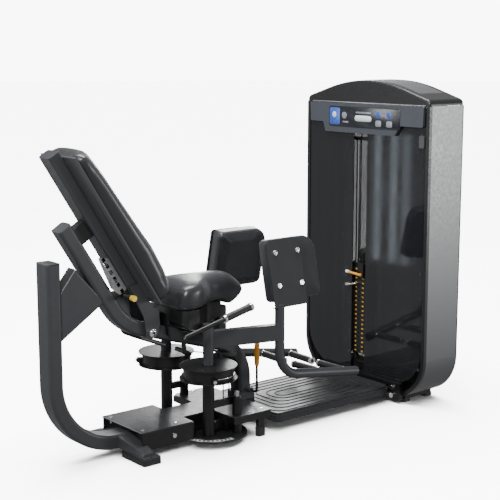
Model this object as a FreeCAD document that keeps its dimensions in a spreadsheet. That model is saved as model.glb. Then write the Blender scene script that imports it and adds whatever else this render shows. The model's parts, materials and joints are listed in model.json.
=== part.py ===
"""Hip abductor machine: a seated selectorised machine whose two padded arms swing outward
against a weight stack. Millimetres, +Z up, +X from the user's back towards the weight tower,
+Y to the user's left. The origin is on the floor under the middle of the machine."""
import FreeCAD, Part
import math
import os
from FreeCAD import Placement, Rotation, Vector
import Sketcher

os.makedirs("parts", exist_ok=True)
doc = FreeCAD.newDocument("hip_abductor_machine")

# ---------------------------------------------------------------- driving dimensions
DIMENSIONS = {
    "half_length": 1048, "half_width": 430,
    "tube_wide": 100, "tube_deep": 66, "tube_wall": 3, "seat_tube_wide": 76, "corner": 14,
    "post_top": 880, "run_height": 64, "rear_bend": 300, "run_end": -420,
    "column_middle": 5, "front_corner": 366, "front_bend": 200,
    "slope_corner_run": 667, "slope_corner": 573, "seat_bend": 250,
    "slope_top_run": 948, "slope_top": 1022,
    "deck_top": 120, "deck_half": 160, "deck_front_half": 240, "deck_thick": 6,
    "pivot_back": 312, "pivot_out": 162, "post_radius": 27, "shaft_radius": 15,
    "running_gap": 0.05, "post_head": 303, "drum_low": 304, "drum_high": 367,
    "drum_radius": 113, "flange_radius": 130, "flange_thick": 5, "spindle_radius": 24.5,
    "spindle_top": 552, "index_low": 30, "index_thick": 7, "index_radius": 165,
    "housing_radius": 21, "housing_top": 203, "pin_radius": 6,
    "arm_middle": 482, "arm_tall": 75, "arm_thick": 38, "leg_radius": 22.5,
    "leg_out": 256, "leg_run": 26, "leg_top": 612, "leg_low": 282, "leg_bend": 130,
    "leg_reach": 521, "leg_drop": 80, "peg_radius": 17, "peg_length": 188,
    "knee_lean": 12, "knee_thick": 82, "plate_thick": 5,
    "seat_front": 10, "seat_rear": 436, "seat_half": 150, "seat_top": 745,
    "nose_half": 62, "back_wide": 300,
    "carrier_wide": 96, "carrier_deep": 56, "carrier_long": 740,
    "recline_back": 540, "recline_height": 527, "grip_radius": 17,
    "step_back": 22, "step_front": 780, "step_half": 244, "step_low": 48,
    "step_top": 88, "tower_face": 815, "shell_thick": 3, "shell_corner": 215, "shell_low": 24,
    "stack_run": 860, "stack_middle": 50, "stack_wide": 130, "stack_deep": 60,
    "plate_high": 23, "plate_pitch": 24, "stack_low": 190, "rod_radius": 9.5,
    "rod_out": 49, "selector_radius": 9, "cable_radius": 3,
}
sheet = doc.addObject("Spreadsheet::Sheet", "Dims")
for row, (alias, number) in enumerate(DIMENSIONS.items(), start=1):
    sheet.set("A%d" % row, alias)
    sheet.set("B%d" % row, str(number))
    sheet.setAlias("B%d" % row, alias)
doc.recompute()


class Size:
    """A number together with the sheet expression that it comes from."""

    def __init__(self, number, text):
        self.number = float(number)
        self.text = text

    def __add__(self, other):
        other = as_size(other)
        return Size(self.number + other.number, "(%s + %s)" % (self.text, other.text))

    def __sub__(self, other):
        other = as_size(other)
        return Size(self.number - other.number, "(%s - %s)" % (self.text, other.text))

    def __mul__(self, other):
        other = as_size(other)
        return Size(self.number * other.number, "%s * %s" % (self.text, other.text))

    def __truediv__(self, other):
        other = as_size(other)
        return Size(self.number / other.number, "%s / %s" % (self.text, other.text))

    def __neg__(self):
        return Size(-self.number, "(0 - %s)" % self.text)

    def __radd__(self, other):
        return as_size(other) + self

    def __rsub__(self, other):
        return as_size(other) - self

    def __rmul__(self, other):
        return as_size(other) * self

    def __float__(self):
        return self.number


def as_size(value):
    return value if isinstance(value, Size) else Size(value, repr(round(float(value), 4)))


class Cells:
    """cells.alias is the sheet's value of that name, as a Size."""

    def __getattr__(self, alias):
        return Size(sheet.get(alias), "Dims.%s" % alias)


cells = Cells()
nodes = {}


def bind(thing, prop, size):
    """Sets a property from the sheet where it has a cell, and plainly where it has none."""
    if isinstance(size, Size):
        thing.setExpression(prop, size.text)
    else:
        setattr(thing, prop, size)


def unique(name):
    return "%s_%d" % (name, len(doc.Objects))


def place(thing, at, axis=None, angle=0):
    """Puts a thing at a point, its place following the sheet, turned by angle about axis."""
    turn = Rotation(axis, angle) if axis is not None else Rotation()
    thing.Placement = Placement(Vector(*[float(c) for c in at]), turn)
    for letter, coordinate in zip("xyz", at):
        if isinstance(coordinate, Size):
            thing.setExpression("Placement.Base.%s" % letter, coordinate.text)
    return thing


def block(name, low, high):
    """A box between two corners."""
    thing = doc.addObject("Part::Box", unique(name))
    for prop, start, end in zip(("Length", "Width", "Height"), low, high):
        bind(thing, prop, as_size(end) - start)
    return place(thing, low)


def rod(name, start, end, radius):
    """A round bar from one point to another."""
    thing = doc.addObject("Part::Cylinder", unique(name))
    bind(thing, "Radius", as_size(radius))
    run = Vector(*[float(b) - float(a) for a, b in zip(start, end)])
    for index, direction in enumerate((Vector(1, 0, 0), Vector(0, 1, 0), Vector(0, 0, 1))):
        if abs(run.normalize().dot(direction) - 1) < 1e-9 if run.Length else False:
            bind(thing, "Height", as_size(end[index]) - start[index])
            break
    else:
        thing.Height = math.dist([float(c) for c in start], [float(c) for c in end])
    place(thing, start)
    thing.Placement.Rotation = Rotation(Vector(0, 0, 1), run)
    return thing


def cone(name, base, low_radius, high_radius, height):
    thing = doc.addObject("Part::Cone", unique(name))
    bind(thing, "Radius1", as_size(low_radius))
    bind(thing, "Radius2", as_size(high_radius))
    bind(thing, "Height", as_size(height))
    return place(thing, base)


def fuse(name, *things):
    joined = doc.addObject("Part::MultiFuse", unique(name))
    joined.Shapes = list(things)
    joined.Refine = True
    return joined


def cut(name, base, *tools):
    result = doc.addObject("Part::Cut", unique(name))
    result.Base = base
    result.Tool = tools[0] if len(tools) == 1 else fuse(name + "_tool", *tools)
    return result


def group(name, *things):
    """Separate solids that share one node."""
    together = doc.addObject("Part::Compound", unique(name))
    together.Links = list(things)
    return together


def moved(name, thing, placement):
    """The thing's shape, carried by a placement of its own."""
    holder = doc.addObject("Part::Compound", unique(name))
    holder.Links = [thing]
    holder.Placement = placement
    return holder


def node(name, thing):
    """Names a finished sub-part and lists it for export."""
    thing.Label = name
    nodes[name] = thing
    return thing


# ---------------------------------------------------------------- sketches
def tangent_points(corners, closed):
    """Where the rounded stretch of each corner starts and ends."""
    count = len(corners)
    result = []
    for i, corner in enumerate(corners):
        here = Vector(float(corner[0]), float(corner[1]), 0)
        radius = float(corner[2]) if len(corner) > 2 else 0
        if radius == 0 or (not closed and i in (0, count - 1)):
            result.append((here, here, None))
            continue
        before = corners[i - 1]
        after = corners[(i + 1) % count]
        back = (Vector(float(before[0]), float(before[1]), 0) - here).normalize()
        ahead = (Vector(float(after[0]), float(after[1]), 0) - here).normalize()
        half = back.getAngle(ahead) / 2
        reach = radius / math.tan(half)
        centre = here + (back + ahead).normalize() * (radius / math.sin(half))
        result.append((here + back * reach, here + ahead * reach, centre))
    return result


def draw(sketch, corners, closed=True):
    """Draws lines with tangent arcs at the corners that have a radius, and binds every corner."""
    count = len(corners)
    spots = tangent_points(corners, closed)
    lines = []
    for i in range(count if closed else count - 1):
        start, end = spots[i][1], spots[(i + 1) % count][0]
        lines.append(sketch.addGeometry(Part.LineSegment(start, end), False))
    for i, corner in enumerate(corners):
        into = lines[i - 1] if closed or i else None
        out = lines[i] if closed or i < count - 1 else None
        start, end, centre = spots[i]
        if centre is None:
            if into is not None and out is not None:
                sketch.addConstraint(Sketcher.Constraint("Coincident", into, 2, out, 1))
            holder, position = (out, 1) if out is not None else (into, 2)
        else:
            radius = float(corner[2])
            left = (end - centre).cross(start - centre).z < 0
            first, last = (start, end) if left else (end, start)
            angles = [math.atan2(p.y - centre.y, p.x - centre.x) for p in (first, last)]
            circle = Part.Circle(centre, Vector(0, 0, 1), radius)
            arc = sketch.addGeometry(Part.ArcOfCircle(circle, angles[0], angles[1]), False)
            ends = (1, 2) if left else (2, 1)
            sketch.addConstraint(Sketcher.Constraint("Tangent", into, 2, arc, ends[0]))
            sketch.addConstraint(Sketcher.Constraint("Tangent", arc, ends[1], out, 1))
            size = sketch.addConstraint(Sketcher.Constraint("Radius", arc, radius))
            if isinstance(corner[2], Size):
                sketch.setExpression("Constraints[%d]" % size, corner[2].text)
            point = Part.Point(Vector(float(corner[0]), float(corner[1]), 0))
            holder, position = sketch.addGeometry(point, True), 1
            sketch.addConstraint(Sketcher.Constraint("PointOnObject", holder, 1, into))
            sketch.addConstraint(Sketcher.Constraint("PointOnObject", holder, 1, out))
        for kind, coordinate in (("DistanceX", corner[0]), ("DistanceY", corner[1])):
            made = sketch.addConstraint(
                Sketcher.Constraint(kind, -1, 1, holder, position, float(coordinate)))
            if isinstance(coordinate, Size):
                sketch.setExpression("Constraints[%d]" % made, coordinate.text)


def new_sketch(body, name, plane, offset=0):
    """A sketch on one of the body's own planes. XY faces +Z, XZ faces -Y and YZ faces +X."""
    sketch = body.newObject("Sketcher::SketchObject", unique(name))
    support = [f for f in body.Origin.OriginFeatures if f.Role == plane + "_Plane"][0]
    sketch.AttachmentSupport = [(support, "")]
    sketch.MapMode = "FlatFace"
    if isinstance(offset, Size):
        sketch.setExpression("AttachmentOffset.Base.z", offset.text)
    else:
        sketch.AttachmentOffset = Placement(Vector(0, 0, offset), Rotation())
    return sketch


def prism(name, plane, corners, low, high, soften=None, edges=None):
    """An outline on XY, XZ or YZ, filled from low to high along that plane's axis.
    soften rounds the edges that the function edges picks out."""
    body = doc.addObject("PartDesign::Body", unique(name))
    towards = -as_size(high) if plane == "XZ" else as_size(low)
    sketch = new_sketch(body, name + "_outline", plane, towards)
    draw(sketch, corners)
    pad = body.newObject("PartDesign::Pad", unique(name + "_pad"))
    pad.Profile = sketch
    bind(pad, "Length", as_size(high) - low)
    if soften is not None:
        doc.recompute()
        chosen = ["Edge%d" % (i + 1) for i, edge in enumerate(pad.Shape.Edges) if edges(edge)]
        fillet = body.newObject("PartDesign::Fillet", unique(name + "_fillet"))
        fillet.Base = (pad, chosen)
        bind(fillet, "Radius", as_size(soften))
        body.Tip = fillet
    return body


def section(wide, deep, corner, shrink=0):
    """A rounded rectangle about its own middle, drawn in by shrink on every side."""
    half_deep, half_wide = deep / 2 - shrink, wide / 2 - shrink
    radius = corner - shrink
    signs = ((-1, -1), (1, -1), (1, 1), (-1, 1))
    return [(half_deep * a, half_wide * b, radius) for a, b in signs]


def bent_bar(name, path, profile, at_x, at_z):
    """A bar swept along a path on XZ that starts straight up or down at (at_x, at_z)."""
    body = doc.addObject("PartDesign::Body", unique(name))
    spine = new_sketch(body, name + "_path", "XZ")
    draw(spine, path, closed=False)
    outline = new_sketch(body, name + "_section", "XY", as_size(at_z))
    draw(outline, [(at_x + p[0], p[1]) + tuple(p[2:]) for p in profile])
    doc.recompute()
    pipe = body.newObject("PartDesign::AdditivePipe", unique(name + "_pipe"))
    pipe.Profile = outline
    pipe.Spine = (spine, ["Edge%d" % (i + 1) for i in range(len(spine.Shape.Edges))])
    return body


def bent_tube(name, path, wide, deep, corner, wall, at_x, at_z):
    """The hollow tube, and its solid envelope for coping what meets it."""
    outer = bent_bar(name, path, section(wide, deep, corner), at_x, at_z)
    inner = bent_bar(name + "_bore", path, section(wide, deep, corner, wall), at_x, at_z)
    return cut(name, outer, inner), outer


def across(edge):
    """Picks the edges that run along Y."""
    return edge.Curve.TypeId == "Part::GeomLine" and abs(edge.tangentAt(0).y) > 0.99


def upright(edge):
    """Picks the edges that run along Z."""
    return edge.Curve.TypeId == "Part::GeomLine" and abs(edge.tangentAt(0).z) > 0.99


def not_across(edge):
    return not across(edge)


# ---------------------------------------------------------------- the two main tubes
post_middle = -cells.half_length + cells.tube_deep / 2
rear_path = [(post_middle, cells.post_top), (post_middle, cells.run_height, cells.rear_bend),
             (cells.run_end, cells.run_height)]
rear_tube, rear_envelope = bent_tube(
    "rear_frame", rear_path, cells.tube_wide, cells.tube_deep, cells.corner, cells.tube_wall,
    post_middle, cells.post_top)

seat_path = [(cells.column_middle, cells.deck_top),
             (cells.column_middle, cells.front_corner, cells.front_bend),
             (-cells.slope_corner_run, cells.slope_corner, cells.seat_bend),
             (-cells.slope_top_run, cells.slope_top)]
seat_tube, seat_envelope = bent_tube(
    "seat_tube", seat_path, cells.seat_tube_wide, cells.tube_deep, cells.corner, cells.tube_wall,
    cells.column_middle, cells.deck_top)

def rear_foot(side):
    """A tapered leg that slopes down from the rear tube to its rubber pad."""
    body = doc.addObject("PartDesign::Body", unique("rear_leg"))
    root = new_sketch(body, "leg_root", "XZ", as_size(-side * 44))
    draw(root, [(-728, 40), (-622, 40), (-632, 92, 8), (-718, 92, 8)])
    tip = new_sketch(body, "leg_tip", "XZ", as_size(-side * 215))
    draw(tip, [(-702, 32), (-640, 32), (-645, 46, 5), (-697, 46, 5)])
    doc.recompute()
    loft = body.newObject("PartDesign::AdditiveLoft", unique("leg"))
    loft.Profile = root
    loft.Sections = [tip]
    shoe_low, shoe_high = sorted((side * 66, side * 238))
    shoe = block("shoe", (-712, shoe_low, 26), (-628, shoe_high, 33))
    hole = rod("anchor_hole", (-670, side * 227, 20), (-670, side * 227, 60), 6)
    return cut("rear_leg", fuse("rear_leg", body, shoe), rear_envelope, hole)


rear_legs = [rear_foot(-1), rear_foot(1)]
node("rear_frame", fuse("rear_frame", rear_tube, *rear_legs))

# ---------------------------------------------------------------- frame details
post_front = post_middle + cells.tube_deep / 2
brace_half = 32
brace = prism("brace", "XZ",
              [(post_front, 545), (post_front, 752), (-905, 850), (-760, 690)],
              -brace_half, brace_half, soften=9, edges=not_across)
node("frame_brace", cut("frame_brace", brace, seat_envelope, rear_envelope))

recline_angle = math.degrees(math.atan2(float(cells.slope_top - cells.slope_corner),
                                         float(cells.slope_top_run - cells.slope_corner_run)))


def on_slope(along, out, side=0, start=(-948, 1022)):
    """A point down the reclined tube's line, out from it towards the user, at side in Y."""
    angle = math.radians(recline_angle)
    return Vector(start[0] + along * math.cos(angle) + out * math.sin(angle), side,
                  start[1] - along * math.sin(angle) + out * math.cos(angle))


def sloped(name, thing, start=(-948, 1022)):
    """Carries a thing drawn upright at the origin, facing +X, onto a reclined line."""
    turn = Rotation(Vector(0, 1, 0), recline_angle - 90)
    return moved(name, thing, Placement(on_slope(0, 0, 0, start), turn))


lever_x, lever_z, lever_out = 20, 164, 100
collar = block("column_collar", (-40, -46, cells.deck_top), (50, 46, cells.deck_top + 34))
lever_boss = rod("lever_boss", (lever_x, -37, lever_z), (lever_x, -62, lever_z), 13)
recline_mount = prism("recline_mount", "XZ",
                      [(-706, 640), (-640, 560), (-630, 640), (-634, 682), (-653, 714, 5), (-690, 718, 10)],
                      -22, 22)
pulley_web = prism("pulley_web", "XZ",
                   [(-20, 120.5), (-20, 300), (-60, 372, 10), (-118, 372, 14), (-118, 290, 10),
                    (-64, 250, 30), (-48, 120.5)], -4, 4)
small_wheel, big_wheel, head_wheel = 28, 45, 30
cable_high = 339
drum_wrap = 117
leave = math.radians(-32.6)
turn_x, turn_out = -100, 46


def turn_direction(side):
    """Where a drum cable leaves its drum, and its level direction to its turning pulley."""
    start = Vector(-float(cells.pivot_back) + drum_wrap * math.cos(leave),
                   side * (float(cells.pivot_out) - drum_wrap * math.sin(leave)), 0)
    return start, (Vector(turn_x, side * turn_out, 0) - start).normalize()


turn_z = cable_high - small_wheel
lug_beam = block("lug_beam", (-122, -72, 352), (-78, 72, 362))
lugs = []
for side in (-1, 1):
    towards = turn_direction(side)[1]
    facing = Placement(Vector(turn_x, side * turn_out, turn_z), Rotation(Vector(1, 0, 0), towards))
    for near, far in ((-12, -7), (7, 12)):
        lugs.append(moved("lug", block("lug", (-8, near, -11), (8, far, 45)), facing))
weldments = cut("seat_weldments", fuse("seat_weldments", collar, lever_boss, recline_mount,
                                       pulley_web, lug_beam, *lugs), seat_envelope)
lever_bore = rod("lever_bore", (lever_x, -38.5, lever_z), (lever_x, -64, lever_z), 6.05)
knob_bore = rod("knob_bore", (-665, -30, 705), (-665, 30, 705), 8.05)
pivot_bore = rod("pivot_bore", (-cells.recline_back, -60, cells.recline_height),
                 (-cells.recline_back, 60, cells.recline_height), 10)
node("seat_frame", cut("seat_frame", fuse("seat_frame", seat_tube, weldments),
                       lever_bore, knob_bore, pivot_bore))

post_cap = prism("post_cap", "XY",
                 [(post_middle + p[0], p[1], p[2]) for p in
                  section(cells.tube_wide, cells.tube_deep, cells.corner)],
                 cells.post_top, cells.post_top + 5)
slope_cap = prism("slope_cap", "XY",
                  section(cells.seat_tube_wide, cells.tube_deep, cells.corner), 0, 5)
slope_cap = sloped("slope_cap", slope_cap)

# ---------------------------------------------------------------- base and deck
deck_notch = [(-395, 78, 12), (-225, 78, 12)]
deck_half = cells.deck_half
deck_front = cells.deck_front_half
deck_left = [(-672, deck_half, 4), (-395, deck_half, 8)] + deck_notch + [
    (-225, deck_front, 30), (-4, deck_front, 10)]
deck_outline = deck_left + [(p[0], -p[1], p[2]) for p in reversed(deck_left)]
deck_under = cells.deck_top - cells.deck_thick
deck = prism("deck", "XY", deck_outline, deck_under, cells.deck_top)
screw_spots = [(x, side * y) for x, y in ((-645, 128), (-470, 128), (-120, 215), (-40, 205))
               for side in (-1, 1)]
screw_holes = [rod("screw_hole", (x, y, deck_under - 1), (x, y, cells.deck_top + 1), 4.5)
               for x, y in screw_spots]
cable_slot = block("cable_slot", (-108, -32, deck_under - 1), (-60, 32, cells.deck_top + 1))
housing_x, housing_out = -182, 203
housing_ways = [rod("housing_way", (housing_x, side * housing_out, deck_under - 1),
                    (housing_x, side * housing_out, cells.deck_top + 1),
                    cells.housing_radius + 0.5) for side in (-1, 1)]
node("platform_plate", cut("platform_plate", deck, cable_slot, *(screw_holes + housing_ways)))

side_walls = [block("side_wall", (-668, y, 36), (-395, y + 5, deck_under)) for y in (-158, 153)]
wings = [block("wing", (-222, y, 84), (-8, y + 5, deck_under)) for y in (-236, 231)]
wing_feet = [block("wing_foot", (-78, y, 42), (-42, y + 19, 88)) for y in (-231, 212)]
cross_bars = [block("cross_bar", (x, -153, 98), (x + 50, 153, deck_under))
              for x in (-640, -440)]
front_bars = [block("front_bar", (x, -y, 42), (x + 8, y, deck_under)) for x, y in
              ((-222, 180), (-16, 79))]
high_bars = [block("high_bar", (x, -231, 84), (x + 8, 231, deck_under)) for x in (-222, -16)]
spine_box = block("spine_box", (cells.run_end, -50, 31), (-125, 50, 97))
spine_web = block("spine_web", (-400, -30, 97), (-125, 30, deck_under))
rails = [block("rail", (-125, y, 31), (-8, y + 16, deck_under)) for y in (-50, 34)]
gussets = [block("gusset", (-400, y, 42), (-222, y + 5, deck_under)) for y in (-75, 70)]
gusset_ties = [block("gusset_tie", (-400, y, 42), (-392, y + 83, deck_under)) for y in (-158, 75)]
step_link = block("step_link", (-8, -50, 48), (cells.step_back, 50, deck_under))
column_foot = block("column_foot", (-4, -46, cells.step_top), (50, 46, cells.deck_top))
base = fuse("platform_base", step_link, column_foot, *(
    side_walls + wings + wing_feet + cross_bars + front_bars + high_bars + gussets + gusset_ties
    + rails + [spine_box, spine_web]))
node("platform_base", cut("platform_base", base, rear_envelope, *rear_legs,
                          *[rod("tapped", (x, y, 90), (x, y, deck_under + 1), 4.5)
                            for x, y in screw_spots]))


def screw(spot, low, high, head_radius=8, head=3):
    """A round-headed screw standing on high."""
    shank = rod("shank", (spot[0], spot[1], low), (spot[0], spot[1], high), 4.4)
    top = cone("head", (spot[0], spot[1], high), head_radius, head_radius - 2.5, head)
    return fuse("screw", shank, top)


# ---------------------------------------------------------------- rubber feet and stops
def foot_pad(x, y, half_x, half_y, high, hole):
    pad = prism("foot_pad", "XY",
                [(x + a * half_x, y + b * half_y, 12) for a, b in
                 ((-1, -1), (1, -1), (1, 1), (-1, 1))], 0, high)
    if hole is None:
        return pad
    return cut("foot_pad", pad, rod("pad_hole", (x, hole, -1), (x, hole, high + 1), 6))


rear_pads = [foot_pad(-670, side * 152, 46, 90, 26, side * 227) for side in (-1, 1)]
tower_pads = [foot_pad(x, side * 262, 24, 24, 18, None)
              for x in (850, 1012) for side in (-1, 1)]
deck_pads = [foot_pad(-60, side * 222, 22, 16, 42, None) for side in (-1, 1)]
bumper_block = block("bumper", (33, -20, -112), (93.9, 20, -30))
bumper = sloped("bumper", bumper_block)
node("rubber_feet", group("rubber_feet", *(rear_pads + tower_pads + deck_pads)))

# ---------------------------------------------------------------- step deck
step_outline = [(cells.step_back, -cells.step_half, 26), (cells.step_front, -cells.step_half, 46),
                (cells.step_front, cells.step_half, 46), (cells.step_back, cells.step_half, 26)]
step_tray = prism("step_tray", "XY", step_outline, cells.step_low, cells.step_top - 10)
node("step_frame", step_tray)
mat_inset = 10
mat_outline = [(cells.step_back + mat_inset, -cells.step_half + mat_inset, 22),
               (cells.step_front - mat_inset, -cells.step_half + mat_inset, 40),
               (cells.step_front - mat_inset, cells.step_half - mat_inset, 40),
               (cells.step_back + mat_inset, cells.step_half - mat_inset, 22)]
node("step_mat", prism("step_mat", "XY", mat_outline, cells.step_top - 10, cells.step_top))

# ---------------------------------------------------------------- pivot posts
pivot_x = -cells.pivot_back
shaft_top = cells.spindle_top - 6
post_low = cells.index_low + cells.index_thick
node("pivot_shafts", group("pivot_shafts", *[
    rod("shaft", (pivot_x, side * cells.pivot_out, post_low), (pivot_x, side * cells.pivot_out,
                                                              shaft_top), cells.shaft_radius)
    for side in (-1, 1)]))


def pivot_post(side):
    """The welded post, its tie to the base and the bracket that carries the pin housing."""
    y = cells.pivot_out * side
    post = rod("post", (pivot_x, y, post_low), (pivot_x, y, cells.post_head), cells.post_radius)
    bore = rod("post_bore", (pivot_x, y, post_low - 1), (pivot_x, y, cells.post_head + 1),
               cells.shaft_radius)
    housing = rod("housing", (housing_x, side * housing_out, post_low),
                  (housing_x, side * housing_out, cells.housing_top), cells.housing_radius)
    pin_bore = rod("pin_bore", (housing_x, side * housing_out, post_low - 1),
                   (housing_x, side * housing_out, cells.housing_top + 1),
                   cells.pin_radius + cells.running_gap)
    low, high = sorted((side * 176, side * 190))
    strap = block("strap", (pivot_x + 5, low, 168), (housing_x, high, 200))
    low, high = sorted((side * 120, side * 152))
    tie = block("tie", (pivot_x + 10, low, 50), (-222, high, 90))
    return cut("pivot_post", fuse("pivot_post", post, housing, strap, tie), bore, pin_bore)


node("pivot_posts", group("pivot_posts", pivot_post(-1), pivot_post(1)))


def index_plate(side):
    """The round base plate of one pivot, trimmed where it meets the platform."""
    disc = rod("disc", (-265, side * 118, cells.index_low), (-265, side * 118, post_low),
               cells.index_radius)
    low, high = sorted((side * 50.5, side * -200))
    trim = block("trim", (-480, low, 20), (0, high, 50))
    walls = []
    for back, inner, outer in ((-402, 69, 164), (-440, 150, 162)):
        low, high = sorted((side * inner, side * outer))
        walls.append(block("wall_gap", (back, low, 20), (-390, high, 50)))
    detent = rod("detent", (housing_x, side * housing_out, 20),
                 (housing_x, side * housing_out, 50), cells.pin_radius + cells.running_gap)
    return cut("index_plate", disc, trim, detent, *walls)


node("index_plates", group("index_plates", index_plate(-1), index_plate(1)))
for side, word in ((-1, "right"), (1, "left")):
    y = side * housing_out
    stem = rod("stem", (housing_x, y, cells.index_low + 1), (housing_x, y, cells.housing_top + 26),
               cells.pin_radius)
    knob = rod("knob", (housing_x, y, cells.housing_top + 4), (housing_x, y, cells.housing_top + 26),
               11)
    node("range_pin_" + word, fuse("range_pin_" + word, stem, knob))

# ---------------------------------------------------------------- swinging arms
anchor_angle = {"right": -115, "left": 141}
wrap_high = 326


def wrap(name, centre, radius, height, start_angle, end_angle):
    """A stretch of cable lying on a drum, as part of a ring."""
    ring = doc.addObject("Part::Torus", unique(name))
    ring.Radius1 = radius
    bind(ring, "Radius2", cells.cable_radius)
    ring.Angle3 = end_angle - start_angle
    ring.Placement = Placement(Vector(centre[0], centre[1], height),
                               Rotation(Vector(0, 0, 1), start_angle))
    return ring


def swinging_arm(side, word):
    """Everything that turns about one pivot: side is -1 on the user's right, 1 on the left."""
    y = cells.pivot_out * side
    bore = cells.shaft_radius + cells.running_gap
    spindle = rod("spindle", (pivot_x, y, cells.drum_high), (pivot_x, y, cells.spindle_top - 4),
                  cells.spindle_radius)
    cap = rod("spindle_cap", (pivot_x, y, cells.spindle_top - 4), (pivot_x, y, cells.spindle_top),
              cells.spindle_radius)
    reach = Vector(338, side * 94, 0)
    yaw = math.degrees(math.atan2(reach.y, reach.x))
    beam = block("beam", (0, -cells.arm_thick / 2, -cells.arm_tall / 2),
                 (reach.Length - 8, cells.arm_thick / 2, cells.arm_tall / 2))
    beam = moved("beam", beam, Placement(
        Vector(float(pivot_x), float(y), float(cells.arm_middle)), Rotation(Vector(0, 0, 1), yaw)))
    shaft_bore = rod("arm_bore", (pivot_x, y, cells.drum_high - 1), (pivot_x, y, shaft_top + 1), bore)
    leg_path = [(0, cells.leg_top), (0, cells.leg_low, cells.leg_bend),
                (cells.leg_reach, cells.leg_low - cells.leg_drop)]
    leg_section = [(a * cells.leg_radius, b * cells.leg_radius, cells.leg_radius - 0.2)
                   for a, b in ((-1, -1), (1, -1), (1, 1), (-1, 1))]
    leg = bent_bar("leg_" + word, leg_path, leg_section, 0, cells.leg_top)
    leg_turn = Rotation(Vector(0, 0, 1), -side * 3.6)
    leg_at = Vector(float(cells.leg_run), side * float(cells.leg_out), 0)
    leg = moved("leg", leg, Placement(leg_at, leg_turn))
    pegs, sleeves, collars = [], [], []
    slope = float(cells.leg_drop) / float(cells.leg_reach)
    for run in (295, 470):
        height = float(cells.leg_low) - slope * run
        start = leg_at + leg_turn.multVec(Vector(run, -side * 16, height))
        end = start + leg_turn.multVec(Vector(0, -side * float(cells.peg_length), 0))
        inward = (end - start).normalize()
        sleeves.append(rod("stub", start, end, 9))
        grip_start, grip_end = start + inward * 22, end - inward * 10
        pegs.append(cut("grip", rod("grip", grip_start, grip_end, cells.peg_radius),
                        rod("grip_bore", grip_start - inward, grip_end + inward, 9)))
        for spot, long in ((grip_start - inward * 8, 7.8), (grip_end + inward * 0.2, 9.8)):
            ring = rod("collar", spot, spot + inward * long, float(cells.peg_radius) + 1.5)
            collars.append(cut("collar", ring, rod("collar_bore", spot - inward,
                                                   end if long > 9 else spot + inward * 30, 9)))
    node("arm_" + word, fuse("arm_" + word, cut("arm_beam", fuse("arm_beam", spindle, beam),
                                                shaft_bore), cap, leg, *sleeves))
    node("foot_grips_" + word, group("foot_grips_" + word, *pegs))

    drum_bore = rod("drum_bore", (pivot_x, y, cells.drum_low - 1), (pivot_x, y, cells.drum_high + 1),
                    bore)
    low_rim = rod("low_rim", (pivot_x, y, cells.drum_low),
                  (pivot_x, y, cells.drum_low + cells.flange_thick), cells.flange_radius)
    high_rim = rod("high_rim", (pivot_x, y, cells.drum_high - cells.flange_thick),
                   (pivot_x, y, cells.drum_high), cells.flange_radius)
    core = rod("core", (pivot_x, y, cells.drum_low), (pivot_x, y, cells.drum_high),
               cells.drum_radius)
    angle = math.radians(anchor_angle[word])
    anchor_at = Vector(float(pivot_x) + 122 * math.cos(angle), float(y) + 122 * math.sin(angle), 322)
    anchor = block("anchor", (-16, -11, -11), (16, 11, 11))
    anchor = moved("anchor", anchor, Placement(anchor_at, Rotation(Vector(0, 0, 1),
                                                                   math.degrees(angle))))
    node("drum_" + word, cut("drum_" + word, fuse("drum_" + word, low_rim, high_rim, core, anchor),
                             drum_bore))
    outward = Vector(math.cos(angle), math.sin(angle), 0)
    anchor_bolt = rod("anchor_bolt", anchor_at + outward * 16.0, anchor_at + outward * 22, 8)

    # The knee pad leans inward at the top; it is drawn upright and then tilted as one piece.
    lean = Placement(Vector(0, side * 262, 617), Rotation(Vector(1, 0, 0), side * float(cells.knee_lean)))
    inner, outer = (0, cells.plate_thick) if side > 0 else (-cells.plate_thick, 0)
    plate = prism("plate", "XZ", [(-11, -22, 4), (182, -22, 14), (182, 289, 40), (-11, 289, 14)],
                  inner, outer)
    tab = block("tab", (-2, min(0, side * -26), -22), (160, max(0, side * -26), -18))
    bolt_spots = [(x, z) for x in (28, 162) for z in (78, 229)]
    holes = [rod("plate_hole", (x, -30, z), (x, 30, z), 4.5) for x, z in bolt_spots]
    plate = cut("plate", fuse("plate", plate, tab), *holes)
    plate = moved("plate", plate, lean)
    node("knee_plate_" + word, cut("knee_plate_" + word, plate,
                                   rod("leg_clear", (leg_at.x, leg_at.y, 560),
                                       (leg_at.x, leg_at.y, cells.leg_top), cells.leg_radius + 0.3)))
    thick = float(cells.knee_thick)
    low, high = sorted((0, -side * thick))
    pad = prism("pad", "XZ", [(-11, 4, 18), (285, 4, 30), (285, 296, 70), (-11, 296, 18)],
                low, high, soften=16, edges=not_across)
    pad_moved = moved("pad", pad, lean)
    node("knee_pad_" + word, pad_moved)
    bolts = []
    for x, z in bolt_spots:
        near = side * 5.0
        bolts.append(rod("button", (x, near, z), (x, near + side * 5, z), 11))
    bolts = [moved("knee_bolts", group("knee_bolts", *bolts), lean)]
    first, last = (-107, 30) if side < 0 else (-30, 133)
    lay = wrap("drum_wrap", (float(pivot_x), float(y)), drum_wrap, wrap_high, first, last)
    node("fittings_" + word, group("fittings_" + word, *(bolts + collars + [anchor_bolt, lay])))


for side, word in ((-1, "right"), (1, "left")):
    swinging_arm(side, word)

# ---------------------------------------------------------------- handles
def handle_path(side):
    """The bent handle tube as runs and arcs through the corners of its route."""
    return [Vector(-395, side * 38, 428), Vector(-432, side * 190, 440),
            Vector(-500, side * 238, 470), Vector(-508, side * 246, 532),
            Vector(-325, side * 250, 577), Vector(-136, side * 250, 622)]


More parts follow.
